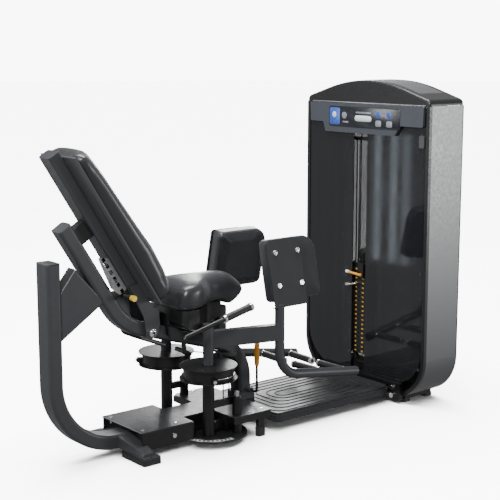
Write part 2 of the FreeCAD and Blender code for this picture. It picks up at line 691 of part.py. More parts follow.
def routed(corners, radii):
    """Straight runs joined by tangent arcs through hand-chosen corners."""
    edges, last = [], corners[0]
    for before, here, after, radius in zip(corners, corners[1:], corners[2:], radii):
        back, ahead = (before - here).normalize(), (after - here).normalize()
        half = back.getAngle(ahead) / 2
        reach = radius / math.tan(half)
        start, end = here + back * reach, here + ahead * reach
        centre = here + (back + ahead).normalize() * (radius / math.sin(half))
        middle = centre + (here - centre).normalize() * radius
        edges.append(Part.LineSegment(last, start).toShape())
        edges.append(Part.Arc(start, middle, end).toShape())
        last = end
    edges.append(Part.LineSegment(last, corners[-1]).toShape())
    return Part.Wire(edges)


def swept(name, wire, radius):
    """A round bar along a wire, as a plain shape."""
    start = wire.Edges[0]
    circle = Part.makeCircle(radius, start.valueAt(start.FirstParameter),
                             start.tangentAt(start.FirstParameter))
    thing = doc.addObject("Part::Feature", unique(name))
    thing.Shape = wire.makePipeShell([Part.Wire([circle])], True, False)
    return thing


handle_thick = 10.5
handles, grips, collars = [], [], []
for side in (-1, 1):
    corners = handle_path(side)
    grip_line = (corners[5] - corners[4]).normalize()
    tube = swept("handle", routed(corners, [40, 26, 26, 60]), handle_thick)
    handles.append(tube)
    start, end = corners[5] - grip_line * 150, corners[5]
    grips.append(cut("grip", rod("grip", start, end - grip_line * 12, cells.grip_radius),
                     rod("grip_bore", start - grip_line, end, handle_thick)))
    for spot in (start - grip_line * 12, end - grip_line * 12):
        ring = rod("collar", spot, spot + grip_line * 12, float(cells.grip_radius) + 2)
        stop = spot + grip_line * 30
        collars.append(cut("collar", ring, rod("collar_bore", spot - grip_line, stop, handle_thick)))
node("handle_tubes", cut("handle_tubes", group("handle_tubes", *handles), seat_envelope))
node("handle_grips", group("handle_grips", *grips))

# ---------------------------------------------------------------- seat
def plan_and_side(name, plan, side_view, half, low, high):
    """The solid that has one outline from above and another from the side."""
    from_above = prism(name + "_plan", "XY", plan, low, high)
    from_side = prism(name + "_side", "XZ", side_view, -half, half)
    both = doc.addObject("Part::Common", unique(name))
    both.Base, both.Tool = from_above, from_side
    return both


def saddle(shrink):
    """The seat's outline from above, drawn in by shrink."""
    rear = -cells.seat_rear + shrink
    half, nose = cells.seat_half - shrink, cells.nose_half - shrink
    left = [(rear, half, 30), (-330, half, 50), (-235, nose, 60), (cells.seat_front - shrink, nose, 55)]
    return left + [(p[0], -p[1], p[2]) for p in reversed(left)]


pad_side = [(-440, 616), (-440, 702, 12), (-398, 736, 30), (-200, cells.seat_top + 6, 60),
            (-112, cells.seat_top + 3, 40), (-42, 704, 30), (2, 655, 10), (-96, 584, 16), (-140, 616)]
node("seat_pad", plan_and_side("seat_pad", saddle(0), pad_side, cells.seat_half + 5, 560, 780))
pan_side = [(-428, 615.5), (-424, 560, 14), (-400, 533, 20), (-300, 512, 30), (-150, 545, 30),
            (-150, 615.5)]
pan = plan_and_side("seat_pan", saddle(16), pan_side, cells.seat_half, 480, 640)
node("seat_pan", cut("seat_pan", pan, seat_envelope))
stem = block("seat_stem", (-139, -20, 432), (-98, 20, 583))
cross_tube = rod("cross_tube", (-470, 0, 515), (-470, 0, 602), 20)
fin = prism("fin", "XZ", [(-452, 500), (-446, 500), (-462, 604), (-468, 604)], -58, 58)
node("seat_support", cut("seat_support", group("seat_support", stem, fuse("fin", cross_tube, fin)),
                         seat_envelope))

# ---------------------------------------------------------------- backrest
back_start = (-1021, 1317)
carrier_section = [(p[0] + cells.carrier_deep / 2, p[1], 13) for p in
                   section(cells.carrier_wide, cells.carrier_deep, cells.corner)]
carrier_tube = sloped("carrier_tube", prism("carrier_tube", "XY", carrier_section,
                                            -cells.carrier_long, 0), back_start)
cheek_outline = [(-655, 745), (-590, 760), (-505, 655, 20), (-498, 560), (-512, 500, 24),
                 (-566, 500, 24), (-582, 600, 40)]
cheeks = [prism("cheek", "XZ", cheek_outline, y, y + 6) for y in (-58, 52)]
cheek_web = prism("cheek_web", "XZ", [(-622, 726), (-590, 738), (-556, 690), (-584, 664)], -52, 52)
board_way = sloped("board_way", block("board_way", (56, -150, -840), (220, 150, 0)), back_start)
pivot_clear = rod("pivot_clear", (-cells.recline_back, -80, cells.recline_height),
                  (-cells.recline_back, 80, cells.recline_height), 10.05)
node("back_carrier", cut("back_carrier", fuse("back_carrier", carrier_tube, cheek_web, *cheeks),
                         pivot_clear, board_way))
back_front = [(20, 112), (48, 135), (171, 149), (301, 156), (471, 168), (572, 178), (689, 173),
              (769, 161), (803, 138)]
board = block("back_board", (56.3, -140, -800), (64, 140, -30))
node("back_board", sloped("back_board", board, back_start))
pad_outline = [(64.3, -24)] + [(out, -along) for along, out in back_front] + [(64.3, -803)]
cushion = prism("back_cushion", "XZ", pad_outline, -cells.back_wide / 2, cells.back_wide / 2)
node("back_pad", sloped("back_pad", cushion, back_start))
scale_outline = [(-806, 890, 6), (-756, 884, 6), (-664, 738, 6), (-700, 715, 10), (-745, 752, 20)]
windows = [prism("window", "XZ", [(x, z), (x + 16, z), (x + 26, z - 16), (x + 10, z - 16)], -70, -40)
           for x, z in ((-782, 864), (-757, 826), (-732, 788))]
node("recline_scale", cut("recline_scale", prism("scale", "XZ", scale_outline, -52, -48.3),
                          *windows))
knob_stem = rod("knob_stem", (-665, -96, 705), (-665, 60, 705), 8)
knob_sleeve = rod("knob_sleeve", (-665, -92, 705), (-665, -40, 705), 12)
knob_tip = rod("knob_tip", (-665, -112, 705), (-665, -92, 705), 13)
node("recline_knob", fuse("recline_knob", knob_stem, knob_sleeve, knob_tip))

# ---------------------------------------------------------------- range lever
lever_route = [Vector(lever_x, -40, lever_z), Vector(lever_x, -lever_out, lever_z),
               Vector(lever_x, -lever_out, 400), Vector(lever_x + 18, -lever_out, 416)]
node("lever_rod", swept("lever_rod", routed(lever_route, [16, 10]), 6))
grip_bar = rod("lever_bar", (lever_x, -lever_out, 288), (lever_x, -lever_out, 408), 11)
grip_tip = rod("lever_tip", (lever_x, -lever_out, 404), (lever_x + 30, -lever_out, 432), 9)
grip_bore = swept("lever_grip_bore", routed(lever_route, [16, 10]), 6)
node("lever_grip", cut("lever_grip", fuse("lever_grip", grip_bar, grip_tip), grip_bore))

# ---------------------------------------------------------------- pulleys
def wheel(name, centre, axle, radius, wide, bore, groove_half=3.6):
    """A grooved pulley: the cable's line lies at radius, in a groove of half width groove_half."""
    rim, base, soft = radius + 5, radius - 3.5, 3.2
    body = doc.addObject("PartDesign::Body", unique(name))
    sketch = new_sketch(body, name + "_profile", "XZ")
    draw(sketch, [(bore, -wide / 2), (rim, -wide / 2), (rim, -groove_half),
                  (base, -groove_half, soft), (base, groove_half, soft), (rim, groove_half),
                  (rim, wide / 2), (bore, wide / 2)])
    turned = body.newObject("PartDesign::Revolution", unique(name + "_turned"))
    turned.Profile = sketch
    turned.ReferenceAxis = (sketch, ["V_Axis"])
    turned.Angle = 360
    return moved(name, body, Placement(Vector(*centre), Rotation(Vector(0, 0, 1), Vector(*axle))))


run_low = 24
low_x, low_y = -57, 22
base_x = cells.stack_run + big_wheel
top_z = 1385


axle_studs = []
for side, word in ((-1, "right"), (1, "left")):
    start, towards = turn_direction(side)
    centre = (turn_x, side * turn_out, cable_high - small_wheel)
    axle = Vector(-towards.y, towards.x, 0) * side
    node("turning_pulley_" + word, wheel("turning_pulley", centre, axle, small_wheel, 12, 6.05))
    axle_studs.append(rod("axle_stud", Vector(*centre) - axle * 13, Vector(*centre) + axle * 13, 6))
low_wheels = [wheel("low_pulley", (low_x, side * low_y, run_low + small_wheel), (0, 1, 0),
                    small_wheel, 12, 6.05) for side in (-1, 1)]
node("deck_pulleys", group("deck_pulleys", *low_wheels))
axle_studs.append(rod("low_axle", (low_x, -42, run_low + small_wheel),
                      (low_x, 42, run_low + small_wheel), 6))
base_wheels = [wheel("base_pulley", (float(base_x), side * low_y, run_low + big_wheel), (0, 1, 0),
                     big_wheel, 17, 6.05, 6.2) for side in (-1, 1)]
node("base_pulleys", group("base_pulleys", *base_wheels))
axle_studs.append(rod("base_axle", (base_x, -60, run_low + big_wheel),
                      (base_x, 60, run_low + big_wheel), 6))
stack_x, stack_y = cells.stack_run, cells.stack_middle
top_ys = {side: float(stack_y) + side * head_wheel for side in (-1, 1)}
top_wheels = [wheel("top_pulley", (float(base_x), top_ys[side], top_z), (0, 1, 0), big_wheel, 17,
                    6.05, 6.2) for side in (-1, 1)]
node("top_pulleys", group("top_pulleys", *top_wheels))
axle_studs.append(rod("top_axle", (base_x, 0, top_z), (base_x, 100, top_z), 6))

# ---------------------------------------------------------------- cables
def drum_cable(side):
    """One cable from its drum to the top pulley, with an arc at every pulley."""
    start, towards = turn_direction(side)
    start.z = cable_high
    over = Vector(turn_x, side * turn_out, cable_high)
    down_x, down_y = over.x + towards.x * small_wheel, over.y + towards.y * small_wheel
    low = Vector(low_x - small_wheel, side * low_y, run_low)
    rear_x = float(base_x) + big_wheel
    corners = [start, Vector(down_x, down_y, cable_high), low, Vector(rear_x, side * low_y, run_low),
               Vector(rear_x, top_ys[side], top_z)]
    return swept("drum_cable", routed(corners, [small_wheel, small_wheel, big_wheel]),
                 float(cells.cable_radius))


node("drum_cables", group("drum_cables", drum_cable(-1), drum_cable(1)))

# ---------------------------------------------------------------- tower
face = cells.tower_face
rear = cells.half_length
half = cells.half_width
radius = cells.shell_corner


def band(name, thick, low, high):
    """The tower's U-shaped outline, thick in from the outside, from x = low to high."""
    outer = [(-half, 1485), (-half, cells.shell_low, radius), (half, cells.shell_low, radius),
             (half, 1485)]
    inner = [(half - thick, 1485), (half - thick, cells.shell_low + thick, radius - thick),
             (-half + thick, cells.shell_low + thick, radius - thick), (-half + thick, 1485)]
    return prism(name, "YZ", outer + inner, low, high)


cable_way = block("cable_way", (face - 15, -36, 15), (960, 36, 30))
arm_ways = [block("arm_way", (835.7, y, 10), (1026.3, y + 44.6, 60)) for y in (-284.3, 239.7)]
node("tower_shell", cut("tower_shell", band("tower_shell", cells.shell_thick, face + 8.3,
                                            rear - 8.3), cable_way, *arm_ways))
front_trim = cut("front_trim", band("front_trim", 20, face - 10, face + 8), cable_way)
node("shell_trim", group("shell_trim", front_trim, band("rear_trim", 20, rear - 8, rear)))
cap_outline = [(-half, 1485.5), (half, 1485.5), (half, 1512, 26), (0, 1640, 920),
               (-half, 1512, 26)]


def cap_edges(edge):
    box = edge.BoundBox
    return box.XLength < 0.1 and box.ZMax > 1490


cap_solid = prism("tower_cap", "YZ", cap_outline, face - 10, rear, soften=12, edges=cap_edges)
cap_hollow = prism("cap_hollow", "YZ", [(-half + 8, 1485), (half - 8, 1485), (half - 8, 1500, 16),
                                        (0, 1624, 900), (-half + 8, 1500, 16)],
                   face, rear - 10)
node("tower_cap", cut("tower_cap", cap_solid, cap_hollow))
slot_left, slot_right = 83, -14
shield_top, shield_low = 1478, 96
left_shield = prism("left_shield", "YZ",
                    [(slot_left, shield_low, 20), (408, shield_low, 190), (408, shield_top, 8),
                     (slot_left, shield_top, 8)], face - 6, face - 1)
right_shield = prism("right_shield", "YZ",
                     [(-408, shield_low, 190), (slot_right, shield_low, 20),
                      (slot_right, shield_top, 8), (-408, shield_top, 8)], face - 6, face - 1)
node("front_shields", group("front_shields", left_shield, right_shield))
rear_outline = [(-408, 60, 180), (408, 60, 180), (408, 1478, 8), (-408, 1478, 8)]
node("rear_shield", prism("rear_shield", "YZ", rear_outline, rear - 7, rear - 2))
placard_outline = [(-402, 1482, 6), (-398, 1384, 8), (-250, 1384, 8), (-214, 1334, 10),
                   (280, 1334, 10), (297, 1384, 8), (392, 1384, 8), (396, 1482, 6)]
node("placard", prism("placard", "YZ", placard_outline, face - 22, face - 8))

cross_half = 296
cross_front = cells.step_front
cross_bar = prism("tower_cross", "YZ",
                  [(-cross_half, 16, 14), (cross_half, 16, 14), (cross_half, 104), (-cross_half, 104)],
                  cross_front, face - 11)
cross_gap = block("cross_gap", (770, -36, 10), (810, 36, 30))
tongue = block("tongue", (face - 11, -70, 46), (880, 70, 96))
base_beam = block("base_beam", (846, -298, 46), (1020, 298, 108))
beam_steps = [block("beam_step", (846, y, 77), (1020, y + 60, 108)) for y in (-340, 280)]
pulley_well = block("pulley_well", (850, -34, 20), (960, 34, 130))
uprights = [block("upright", (912, y, 108), (952, y + 40, 1440)) for y in (-340, 300)]
foot_arms = [block("foot_arm", (836, y, 18), (1026, y + 44, 46)) for y in (-284, 240)]
top_beam = block("top_beam", (960, -340, 1360), (994, 340, 1440))
beam_ends = [block("beam_end", (920, y + 4, 1364), (994, y + 36, 1436)) for y in (-340, 300)]
hangers = [block("hanger", (890, y, 1365), (960, y + 6, 1435)) for y in (4, 90)]
seat_low, seat_high, bracket_low = 140, 152, 1296
stack_seat = block("stack_seat", (828, -60, seat_low), (892, 160, seat_high))
seat_legs = [block("seat_leg", (832, y, 108), (888, y + 16, seat_low)) for y in (-60, 144)]
rod_bracket = block("rod_bracket", (840, -340, bracket_low), (882, 340, bracket_low + 14))
bracket_ends = [block("bracket_end", (844, y + 5, bracket_low + 1), (948, y + 35, bracket_low + 13))
                for y in (-340, 300)]
cable_gaps = [rod("cable_gap", (stack_x, y, bracket_low - 1), (stack_x, y, bracket_low + 15), 8)
              for y in top_ys.values()]
tower_frame = fuse("tower_frame", cross_bar, tongue, base_beam, top_beam, stack_seat, rod_bracket,
                   *(uprights + foot_arms + beam_ends + hangers + beam_steps + seat_legs
                     + bracket_ends))
node("tower_frame", cut("tower_frame", tower_frame, pulley_well, cross_gap,
                        *cable_gaps))

# ---------------------------------------------------------------- weight stack
rod_ys = (stack_y - cells.rod_out, stack_y + cells.rod_out)
fixed_count, lifted_count = 15, 4
node("guide_rods", group("guide_rods", *[
    rod("guide_rod", (stack_x, y, seat_high), (stack_x, y, bracket_low), cells.rod_radius)
    for y in rod_ys]))
stops = [cut("stop", rod("stop", (stack_x, y, seat_high), (stack_x, y, cells.stack_low), 15),
             rod("stop_bore", (stack_x, y, seat_high - 1), (stack_x, y, cells.stack_low + 1),
                 cells.rod_radius + 0.5)) for y in rod_ys]
node("caps_and_bumpers", group("caps_and_bumpers", post_cap, slope_cap, bumper, *stops))


def slab(name, low, high, selector_bore):
    """A rounded slab of the weight stack with its guide rod bores."""
    front, back = stack_x - cells.stack_deep / 2, stack_x + cells.stack_deep / 2
    right, left = stack_y - cells.stack_wide / 2, stack_y + cells.stack_wide / 2
    plain = prism(name, "XY", [(front, right, 5), (back, right, 5), (back, left, 5),
                               (front, left, 5)], low, high)
    bores = [rod("slab_bore", (stack_x, y, as_size(low) - 1), (stack_x, y, as_size(high) + 1),
                 cells.rod_radius + 0.5) for y in rod_ys]
    if selector_bore:
        bores.append(rod("selector_bore", (stack_x, stack_y, as_size(low) - 1),
                         (stack_x, stack_y, as_size(high) + 1), cells.selector_radius + 2))
    return plain, bores


def weight_plate(index):
    """One weight plate, with the hole for the selector pin in its front edge."""
    low = cells.stack_low + cells.plate_pitch * index
    middle = low + cells.plate_high / 2
    plain, bores = slab("weight", low, low + cells.plate_high, True)
    pin_hole = rod("pin_hole", (stack_x - cells.stack_deep, stack_y, middle),
                   (stack_x, stack_y, middle), pin_thick + cells.running_gap)
    return cut("weight", plain, pin_hole, *bores)


pin_thick = 4.5
node("weight_plates", group("weight_plates", *[weight_plate(i) for i in range(fixed_count)]))
node("lifted_plates", group("lifted_plates", *[weight_plate(fixed_count + i)
                                               for i in range(lifted_count)]))
pin_high = cells.stack_low + cells.plate_pitch * fixed_count + cells.plate_high / 2
head_low = cells.stack_low + cells.plate_pitch * (fixed_count + lifted_count)
head_high = head_low + 20
head_plain, head_bores = slab("head", head_low, head_high, False)
selector = rod("selector", (stack_x, stack_y, cells.stack_low + 4), (stack_x, stack_y, head_high),
               cells.selector_radius)
yoke_high = head_high + head_wheel + 9
yoke = [block("yoke", (stack_x + x, stack_y - 12, head_high - 1),
              (stack_x + x + 5, stack_y + 12, yoke_high + 12)) for x in (-14, 9)]
hub_bolt = rod("hub_bolt", (stack_x - 20, stack_y, yoke_high), (stack_x + 20, stack_y, yoke_high), 6)
lever_y, hinge_high = 26, 611
carriage = block("carriage", (816, 10, 592), (829.5, 44, head_high))
carriage_top = block("carriage_top", (816, 10, head_low + 0.5), (834, 44, head_high))
pin_way = rod("pin_way", (stack_x - 12, stack_y, pin_high), (stack_x + 12, stack_y, pin_high),
              pin_thick + cells.running_gap)
hinge_way = rod("hinge_way", (810, lever_y, hinge_high), (835, lever_y, hinge_high), 5.05)
node("stack_head", cut("stack_head", fuse("stack_head", head_plain, selector, hub_bolt, carriage,
                                          carriage_top, *yoke), pin_way, hinge_way, *head_bores))
node("head_pulley", wheel("head_pulley", (float(stack_x), float(stack_y), float(yoke_high)),
                          (1, 0, 0), head_wheel, 12, 6.05))
node("stack_cable", group("stack_cable", *[
    rod("stack_run", (stack_x, y, yoke_high), (stack_x, y, top_z), cells.cable_radius)
    for y in top_ys.values()]))

pin_level = float(pin_high)
pin_route = [Vector(870, float(stack_y), pin_level), Vector(799, float(stack_y), pin_level),
             Vector(797, -8, pin_level + 12)]
knob_route = [Vector(814, float(stack_y), pin_level), Vector(799, float(stack_y), pin_level),
              Vector(797, 106, pin_level - 10)]
pin_knob = rod("pin_knob", (797, 90, pin_level - 7.2), (797, 112, pin_level - 11.1), 9)
pin_handle = swept("pin_handle", routed(knob_route, [10]), pin_thick)
pin_stem = swept("selector_pin", routed(pin_route, [10]), pin_thick)
node("selector_pin", fuse("selector_pin", pin_stem, pin_handle, pin_knob))
hinge_pin = rod("hinge_pin", (796, lever_y, hinge_high), (829, lever_y, hinge_high), 5)
bar = rod("increment_bar", (800, 10, 610), (800, 96, 616), 6)
bar_end = rod("increment_end", (800, 94, 615.9), (800, 116, 617.4), 8)
node("increment_lever", fuse("increment_lever", hinge_pin, bar, bar_end))

# ---------------------------------------------------------------- bright fasteners of the frame
pivot_heads = [rod("pivot_head", (-cells.recline_back, y, cells.recline_height),
                   (-cells.recline_back, y + 8, cells.recline_height), 19) for y in (-66.4, 58.4)]
pivot_rod = rod("pivot_rod", (-cells.recline_back, -62, cells.recline_height),
                (-cells.recline_back, 62, cells.recline_height), 10)
fasteners = [fuse("pivot_bolt", pivot_rod, *pivot_heads)]
fasteners += [screw(spot, 90, cells.deck_top) for spot in screw_spots]
for y in (-246, 246):
    for z in (39, 79):
        fasteners.append(rod("cross_bolt", (cross_front - 8, y, z), (cross_front, y, z), 13))
for y in (-165, 158):
    fasteners.append(rod("wall_bolt", (-500, y, 76), (-500, y + 7, 76), 10))
node("frame_fasteners", group("frame_fasteners", *(fasteners + axle_studs + collars)))

# ---------------------------------------------------------------- checks and export
doc.recompute()
faults = [thing.Name for thing in doc.Objects if {"Invalid", "Error"} & set(thing.State)]
for name, thing in nodes.items():
    if thing.Shape.isNull() or not thing.Shape.isValid() or not thing.Shape.Solids:
        faults.append(name)
if faults:
    raise SystemExit("these parts failed: %s" % ", ".join(faults))
for name, thing in nodes.items():
    thing.Shape.exportStep("parts/%s.step" % name)
    print("%s: %d solids, %.0f cm3" % (name, len(thing.Shape.Solids), thing.Shape.Volume / 1000))
print(len(nodes), "nodes")
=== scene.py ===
"""Looks of the hip abductor machine, in metres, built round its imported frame.
+X runs from the backrest to the weight tower, +Y is the user's left and +Z is up."""
import json
import math

import bmesh
import bpy
from mathutils import Matrix, Vector, kdtree
from mathutils.bvhtree import BVHTree


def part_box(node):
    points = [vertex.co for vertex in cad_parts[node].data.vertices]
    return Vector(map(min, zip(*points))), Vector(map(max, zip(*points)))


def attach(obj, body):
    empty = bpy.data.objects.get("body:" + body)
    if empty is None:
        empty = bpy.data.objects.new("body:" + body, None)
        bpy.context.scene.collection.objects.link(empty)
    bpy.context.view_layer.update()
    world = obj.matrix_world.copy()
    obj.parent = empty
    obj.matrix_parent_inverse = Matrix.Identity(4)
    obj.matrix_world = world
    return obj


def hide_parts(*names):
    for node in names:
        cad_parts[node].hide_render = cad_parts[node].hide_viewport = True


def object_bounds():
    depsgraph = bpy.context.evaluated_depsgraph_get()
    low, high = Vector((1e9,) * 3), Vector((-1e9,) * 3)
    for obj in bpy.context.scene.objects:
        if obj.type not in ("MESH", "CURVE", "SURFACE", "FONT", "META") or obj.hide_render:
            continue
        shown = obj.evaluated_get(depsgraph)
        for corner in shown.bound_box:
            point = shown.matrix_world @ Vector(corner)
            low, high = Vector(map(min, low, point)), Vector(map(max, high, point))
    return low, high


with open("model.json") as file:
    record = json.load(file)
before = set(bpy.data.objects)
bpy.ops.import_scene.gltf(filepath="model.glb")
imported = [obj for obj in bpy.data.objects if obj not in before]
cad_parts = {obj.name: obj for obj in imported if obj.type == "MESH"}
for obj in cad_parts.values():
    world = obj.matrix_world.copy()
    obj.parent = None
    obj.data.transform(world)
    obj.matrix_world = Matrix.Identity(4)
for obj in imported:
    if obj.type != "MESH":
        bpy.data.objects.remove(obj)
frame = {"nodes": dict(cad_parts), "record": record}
cad_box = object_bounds()
nodes = frame["nodes"]
body_of_node = {node: body for body, members in frame["record"]["behaviour"]["bodies"].items()
                for node in members}
collection = bpy.context.scene.collection


# ------------------------------------------------------------------ materials
class Look:
    """A Principled material, with short calls for the nodes that pattern it."""

    def __init__(self, name, roughness, metallic=0.0, **constants):
        self.material = bpy.data.materials.new(name)
        self.material.use_nodes = True
        self.tree = self.material.node_tree
        self.shader = self.tree.nodes["Principled BSDF"]
        self.place = self.add("ShaderNodeTexCoord").outputs["Object"]
        self.shader.inputs["Roughness"].default_value = roughness
        self.shader.inputs["Metallic"].default_value = metallic
        for socket, value in constants.items():
            self.shader.inputs[socket.replace("_", " ")].default_value = value

    def add(self, kind, inputs=(), **settings):
        made = self.tree.nodes.new(kind)
        for key, value in settings.items():
            setattr(made, key, value)
        for socket, value in dict(inputs).items():
            if isinstance(value, bpy.types.NodeSocket):
                self.tree.links.new(value, made.inputs[socket])
            else:
                made.inputs[socket].default_value = value
        return made

    def stretched(self, stretch):
        return self.add("ShaderNodeMapping", {"Vector": self.place, "Scale": stretch}).outputs[0]

    def noise(self, scale, detail=3.0, stretch=None):
        place = self.place if stretch is None else self.stretched(stretch)
        made = self.add("ShaderNodeTexNoise", {"Vector": place, "Scale": scale, "Detail": detail})
        return made.outputs["Fac"]

    def cells(self, scale):
        made = self.add("ShaderNodeTexVoronoi", {"Vector": self.place, "Scale": scale})
        return made.outputs["Distance"]

    def axis(self, letter):
        split = self.add("ShaderNodeSeparateXYZ", {0: self.place})
        return split.outputs["XYZ".index(letter)]

    def maths(self, operation, first, second=0.0, third=0.0):
        made = self.add("ShaderNodeMath", {0: first, 1: second, 2: third}, operation=operation)
        return made.outputs[0]

    def span(self, value, low, high, to_low=0.0, to_high=1.0):
        """value, taken from low..high to to_low..to_high and held at the ends."""
        made = self.add("ShaderNodeMapRange", {"Value": value, "From Min": low, "From Max": high,
                                               "To Min": to_low, "To Max": to_high})
        return made.outputs["Result"]

    def mix(self, factor, first, second):
        """The colour first where factor is 0 and second where it is 1."""
        made = self.add("ShaderNodeMix", {0: factor}, data_type="RGBA")
        for slot, colour in ((6, first), (7, second)):
            if isinstance(colour, bpy.types.NodeSocket):
                self.tree.links.new(colour, made.inputs[slot])
            else:
                made.inputs[slot].default_value = tuple(colour) + (1.0,)
        return made.outputs[2]

    def colour(self, output):
        self.tree.links.new(output, self.shader.inputs["Base Color"])

    def rough(self, factor, low, high):
        self.tree.links.new(self.span(factor, 0.3, 0.7, low, high), self.shader.inputs["Roughness"])

    def bump(self, height, distance, strength=1.0, edge=0.0):
        """Bump from height; edge rounds the shading of hard edges by that radius."""
        made = self.add("ShaderNodeBump", {"Height": height, "Distance": distance,
                                           "Strength": strength})
        if edge:
            bevel = self.add("ShaderNodeBevel", {"Radius": edge}, samples=4)
            self.tree.links.new(bevel.outputs[0], made.inputs["Normal"])
        self.tree.links.new(made.outputs[0], self.shader.inputs["Normal"])


def shade(colour, factor):
    return tuple(c * factor for c in colour)


def powder_coat(name, colour, roughness=0.4, metallic=0.3, edge=0.0016):
    """Satin powder coat: fine orange peel, cloudy gloss, a little dust in the colour."""
    look = Look(name, roughness, metallic)
    cloud = look.noise(7, 4)
    look.colour(look.mix(cloud, shade(colour, 0.86), shade(colour, 1.16)))
    look.rough(look.noise(38, 3), roughness - 0.05, roughness + 0.07)
    look.bump(look.noise(900, 2), 0.00006, 0.5, edge)
    return look.material


def vinyl(name, colour, roughness=0.4):
    """Coated upholstery: fine grain, uneven gloss, and soft sheen at a slant."""
    look = Look(name, roughness, Sheen_Weight=0.12, Sheen_Roughness=0.45, Specular_IOR_Level=0.5)
    grain = look.noise(420, 3)
    cloud = look.noise(9, 4)
    look.colour(look.mix(cloud, shade(colour, 0.8), shade(colour, 1.25)))
    look.rough(look.noise(14, 3), roughness - 0.03, roughness + 0.05)
    fine = look.maths("MULTIPLY_ADD", look.noise(2600, 2), 0.35, grain)
    look.bump(fine, 0.00012, 0.2)
    return look.material


def rubber(name, colour, roughness=0.6, grain=900):
    look = Look(name, roughness, Specular_IOR_Level=0.42)
    look.colour(look.mix(look.noise(30, 4), shade(colour, 0.75), shade(colour, 1.35)))
    look.rough(look.noise(80, 3), roughness - 0.08, roughness + 0.1)
    look.bump(look.cells(grain), 0.0002, 0.4, 0.001)
    return look.material


def moulding(name, colour, roughness=0.45, edge=0.0015):
    """Injection moulded plastic with a fine spark-eroded texture."""
    look = Look(name, roughness, Specular_IOR_Level=0.5)
    look.colour(look.mix(look.noise(16, 4), shade(colour, 0.88), shade(colour, 1.14)))
    look.rough(look.noise(120, 3), roughness - 0.07, roughness + 0.08)
    look.bump(look.noise(1500, 2), 0.00007, 0.5, edge)
    return look.material


def bright_metal(name, colour, roughness, stretch=(1, 1, 1)):
    """Plated or ground metal with hairlines along the long direction."""
    look = Look(name, roughness, 1.0)
    lines = look.noise(900, 3, stretch)
    look.colour(look.mix(look.noise(40, 4), shade(colour, 0.9), shade(colour, 1.05)))
    look.rough(lines, max(0.03, roughness - 0.05), roughness + 0.08)
    look.bump(lines, 0.00002, 0.35, 0.0008)
    return look.material


def silver_shell():
    """The tower's side panel: a light silver paint, with painted shade that darkens it towards the
    floor.
    """
    look = Look("shell_paint", 0.42, 0.35)
    # Painted shade: the colour ramps from dark near the floor to light silver at the top.
    height = look.span(look.axis("Z"), 0.05, 1.45)
    painted_shade_ramp = look.maths("POWER", height, 0.8)
    cloud = look.noise(3, 4)
    base = look.mix(painted_shade_ramp, (0.05, 0.0515, 0.054), (0.34, 0.345, 0.35))
    look.colour(look.mix(look.maths("MULTIPLY", cloud, 0.1), base, (0.12, 0.12, 0.125)))
    look.rough(look.noise(60, 3), 0.38, 0.5)
    look.bump(look.noise(1100, 2), 0.00005, 0.5)
    return look.material


def smoked_shield():
    """Smoked polycarbonate: see-through, with faint draw lines from forming."""
    look = Look("smoked_shield", 0.12, Specular_IOR_Level=0.6, Alpha=0.86)
    draw = look.noise(26, 3, (1, 1, 0.03))
    look.colour(look.mix(draw, (0.009, 0.0098, 0.0115), (0.013, 0.014, 0.0165)))
    look.rough(look.noise(12, 3), 0.04, 0.075)
    look.bump(look.noise(500, 2), 0.00002, 0.3)
    return look.material


PIVOT_X = -0.265
PIVOT_Y = 0.118
SCALE_INNER, SCALE_OUTER = 0.133, 0.1525
SCALE_START, SCALE_END = 84, 176


def index_paint():
    """The index plates: painted, with a light scale of ticks along the front of each disc."""
    look = Look("index_paint", 0.4, 0.4)
    x, y = look.axis("X"), look.axis("Y")
    side = look.maths("ABSOLUTE", y)
    dx = look.maths("SUBTRACT", x, PIVOT_X)
    dy = look.maths("SUBTRACT", side, PIVOT_Y)
    reach = look.maths("SQRT", look.maths("ADD", look.maths("MULTIPLY", dx, dx),
                                          look.maths("MULTIPLY", dy, dy)))
    turn = look.maths("MULTIPLY", look.maths("ARCTAN2", dy, dx), 180 / math.pi)
    tick = look.maths("LESS_THAN", look.maths("PINGPONG", turn, 4.0), 1.9)
    band = look.maths("MULTIPLY", look.maths("GREATER_THAN", reach, SCALE_INNER + 0.004),
                      look.maths("LESS_THAN", reach, SCALE_OUTER - 0.0035))
    ring = look.maths("MAXIMUM", look.maths("COMPARE", reach, SCALE_OUTER, 0.0022),
                      look.maths("COMPARE", reach, SCALE_INNER, 0.0016))
    marks = look.maths("MAXIMUM", look.maths("MULTIPLY", tick, band), ring)
    swept = look.maths("MULTIPLY", look.maths("GREATER_THAN", turn, SCALE_START),
                       look.maths("LESS_THAN", turn, SCALE_END))
    marks = look.maths("MULTIPLY", marks, swept)
    dark = look.mix(look.noise(18, 4), (0.016, 0.0165, 0.018), (0.026, 0.027, 0.029))
    look.colour(look.mix(marks, dark, (0.95, 0.95, 0.95)))
    look.rough(look.noise(60, 3), 0.34, 0.46)
    look.bump(look.noise(900, 2), 0.00006, 0.5, 0.001)
    return look.material


def two_tone(name, axis, split, low_colour, high_colour, roughness=0.3):
    """A moulded grip or knob whose colour changes at a place along one axis; on the range lever's
    grip the lighter tip is a painted highlight.
    """
    look = Look(name, roughness, Specular_IOR_Level=0.5, Coat_Weight=0.25)
    change = look.span(look.axis(axis), split - 0.0006, split + 0.0006)
    dust = look.noise(60, 4)
    low = look.mix(dust, shade(low_colour, 0.85), low_colour)
    high = look.mix(dust, shade(high_colour, 0.88), high_colour)
    look.colour(look.mix(change, low, high))
    look.rough(look.noise(90, 3), roughness - 0.06, roughness + 0.1)
    look.bump(look.noise(1300, 2), 0.00006, 0.5)
    return look.material


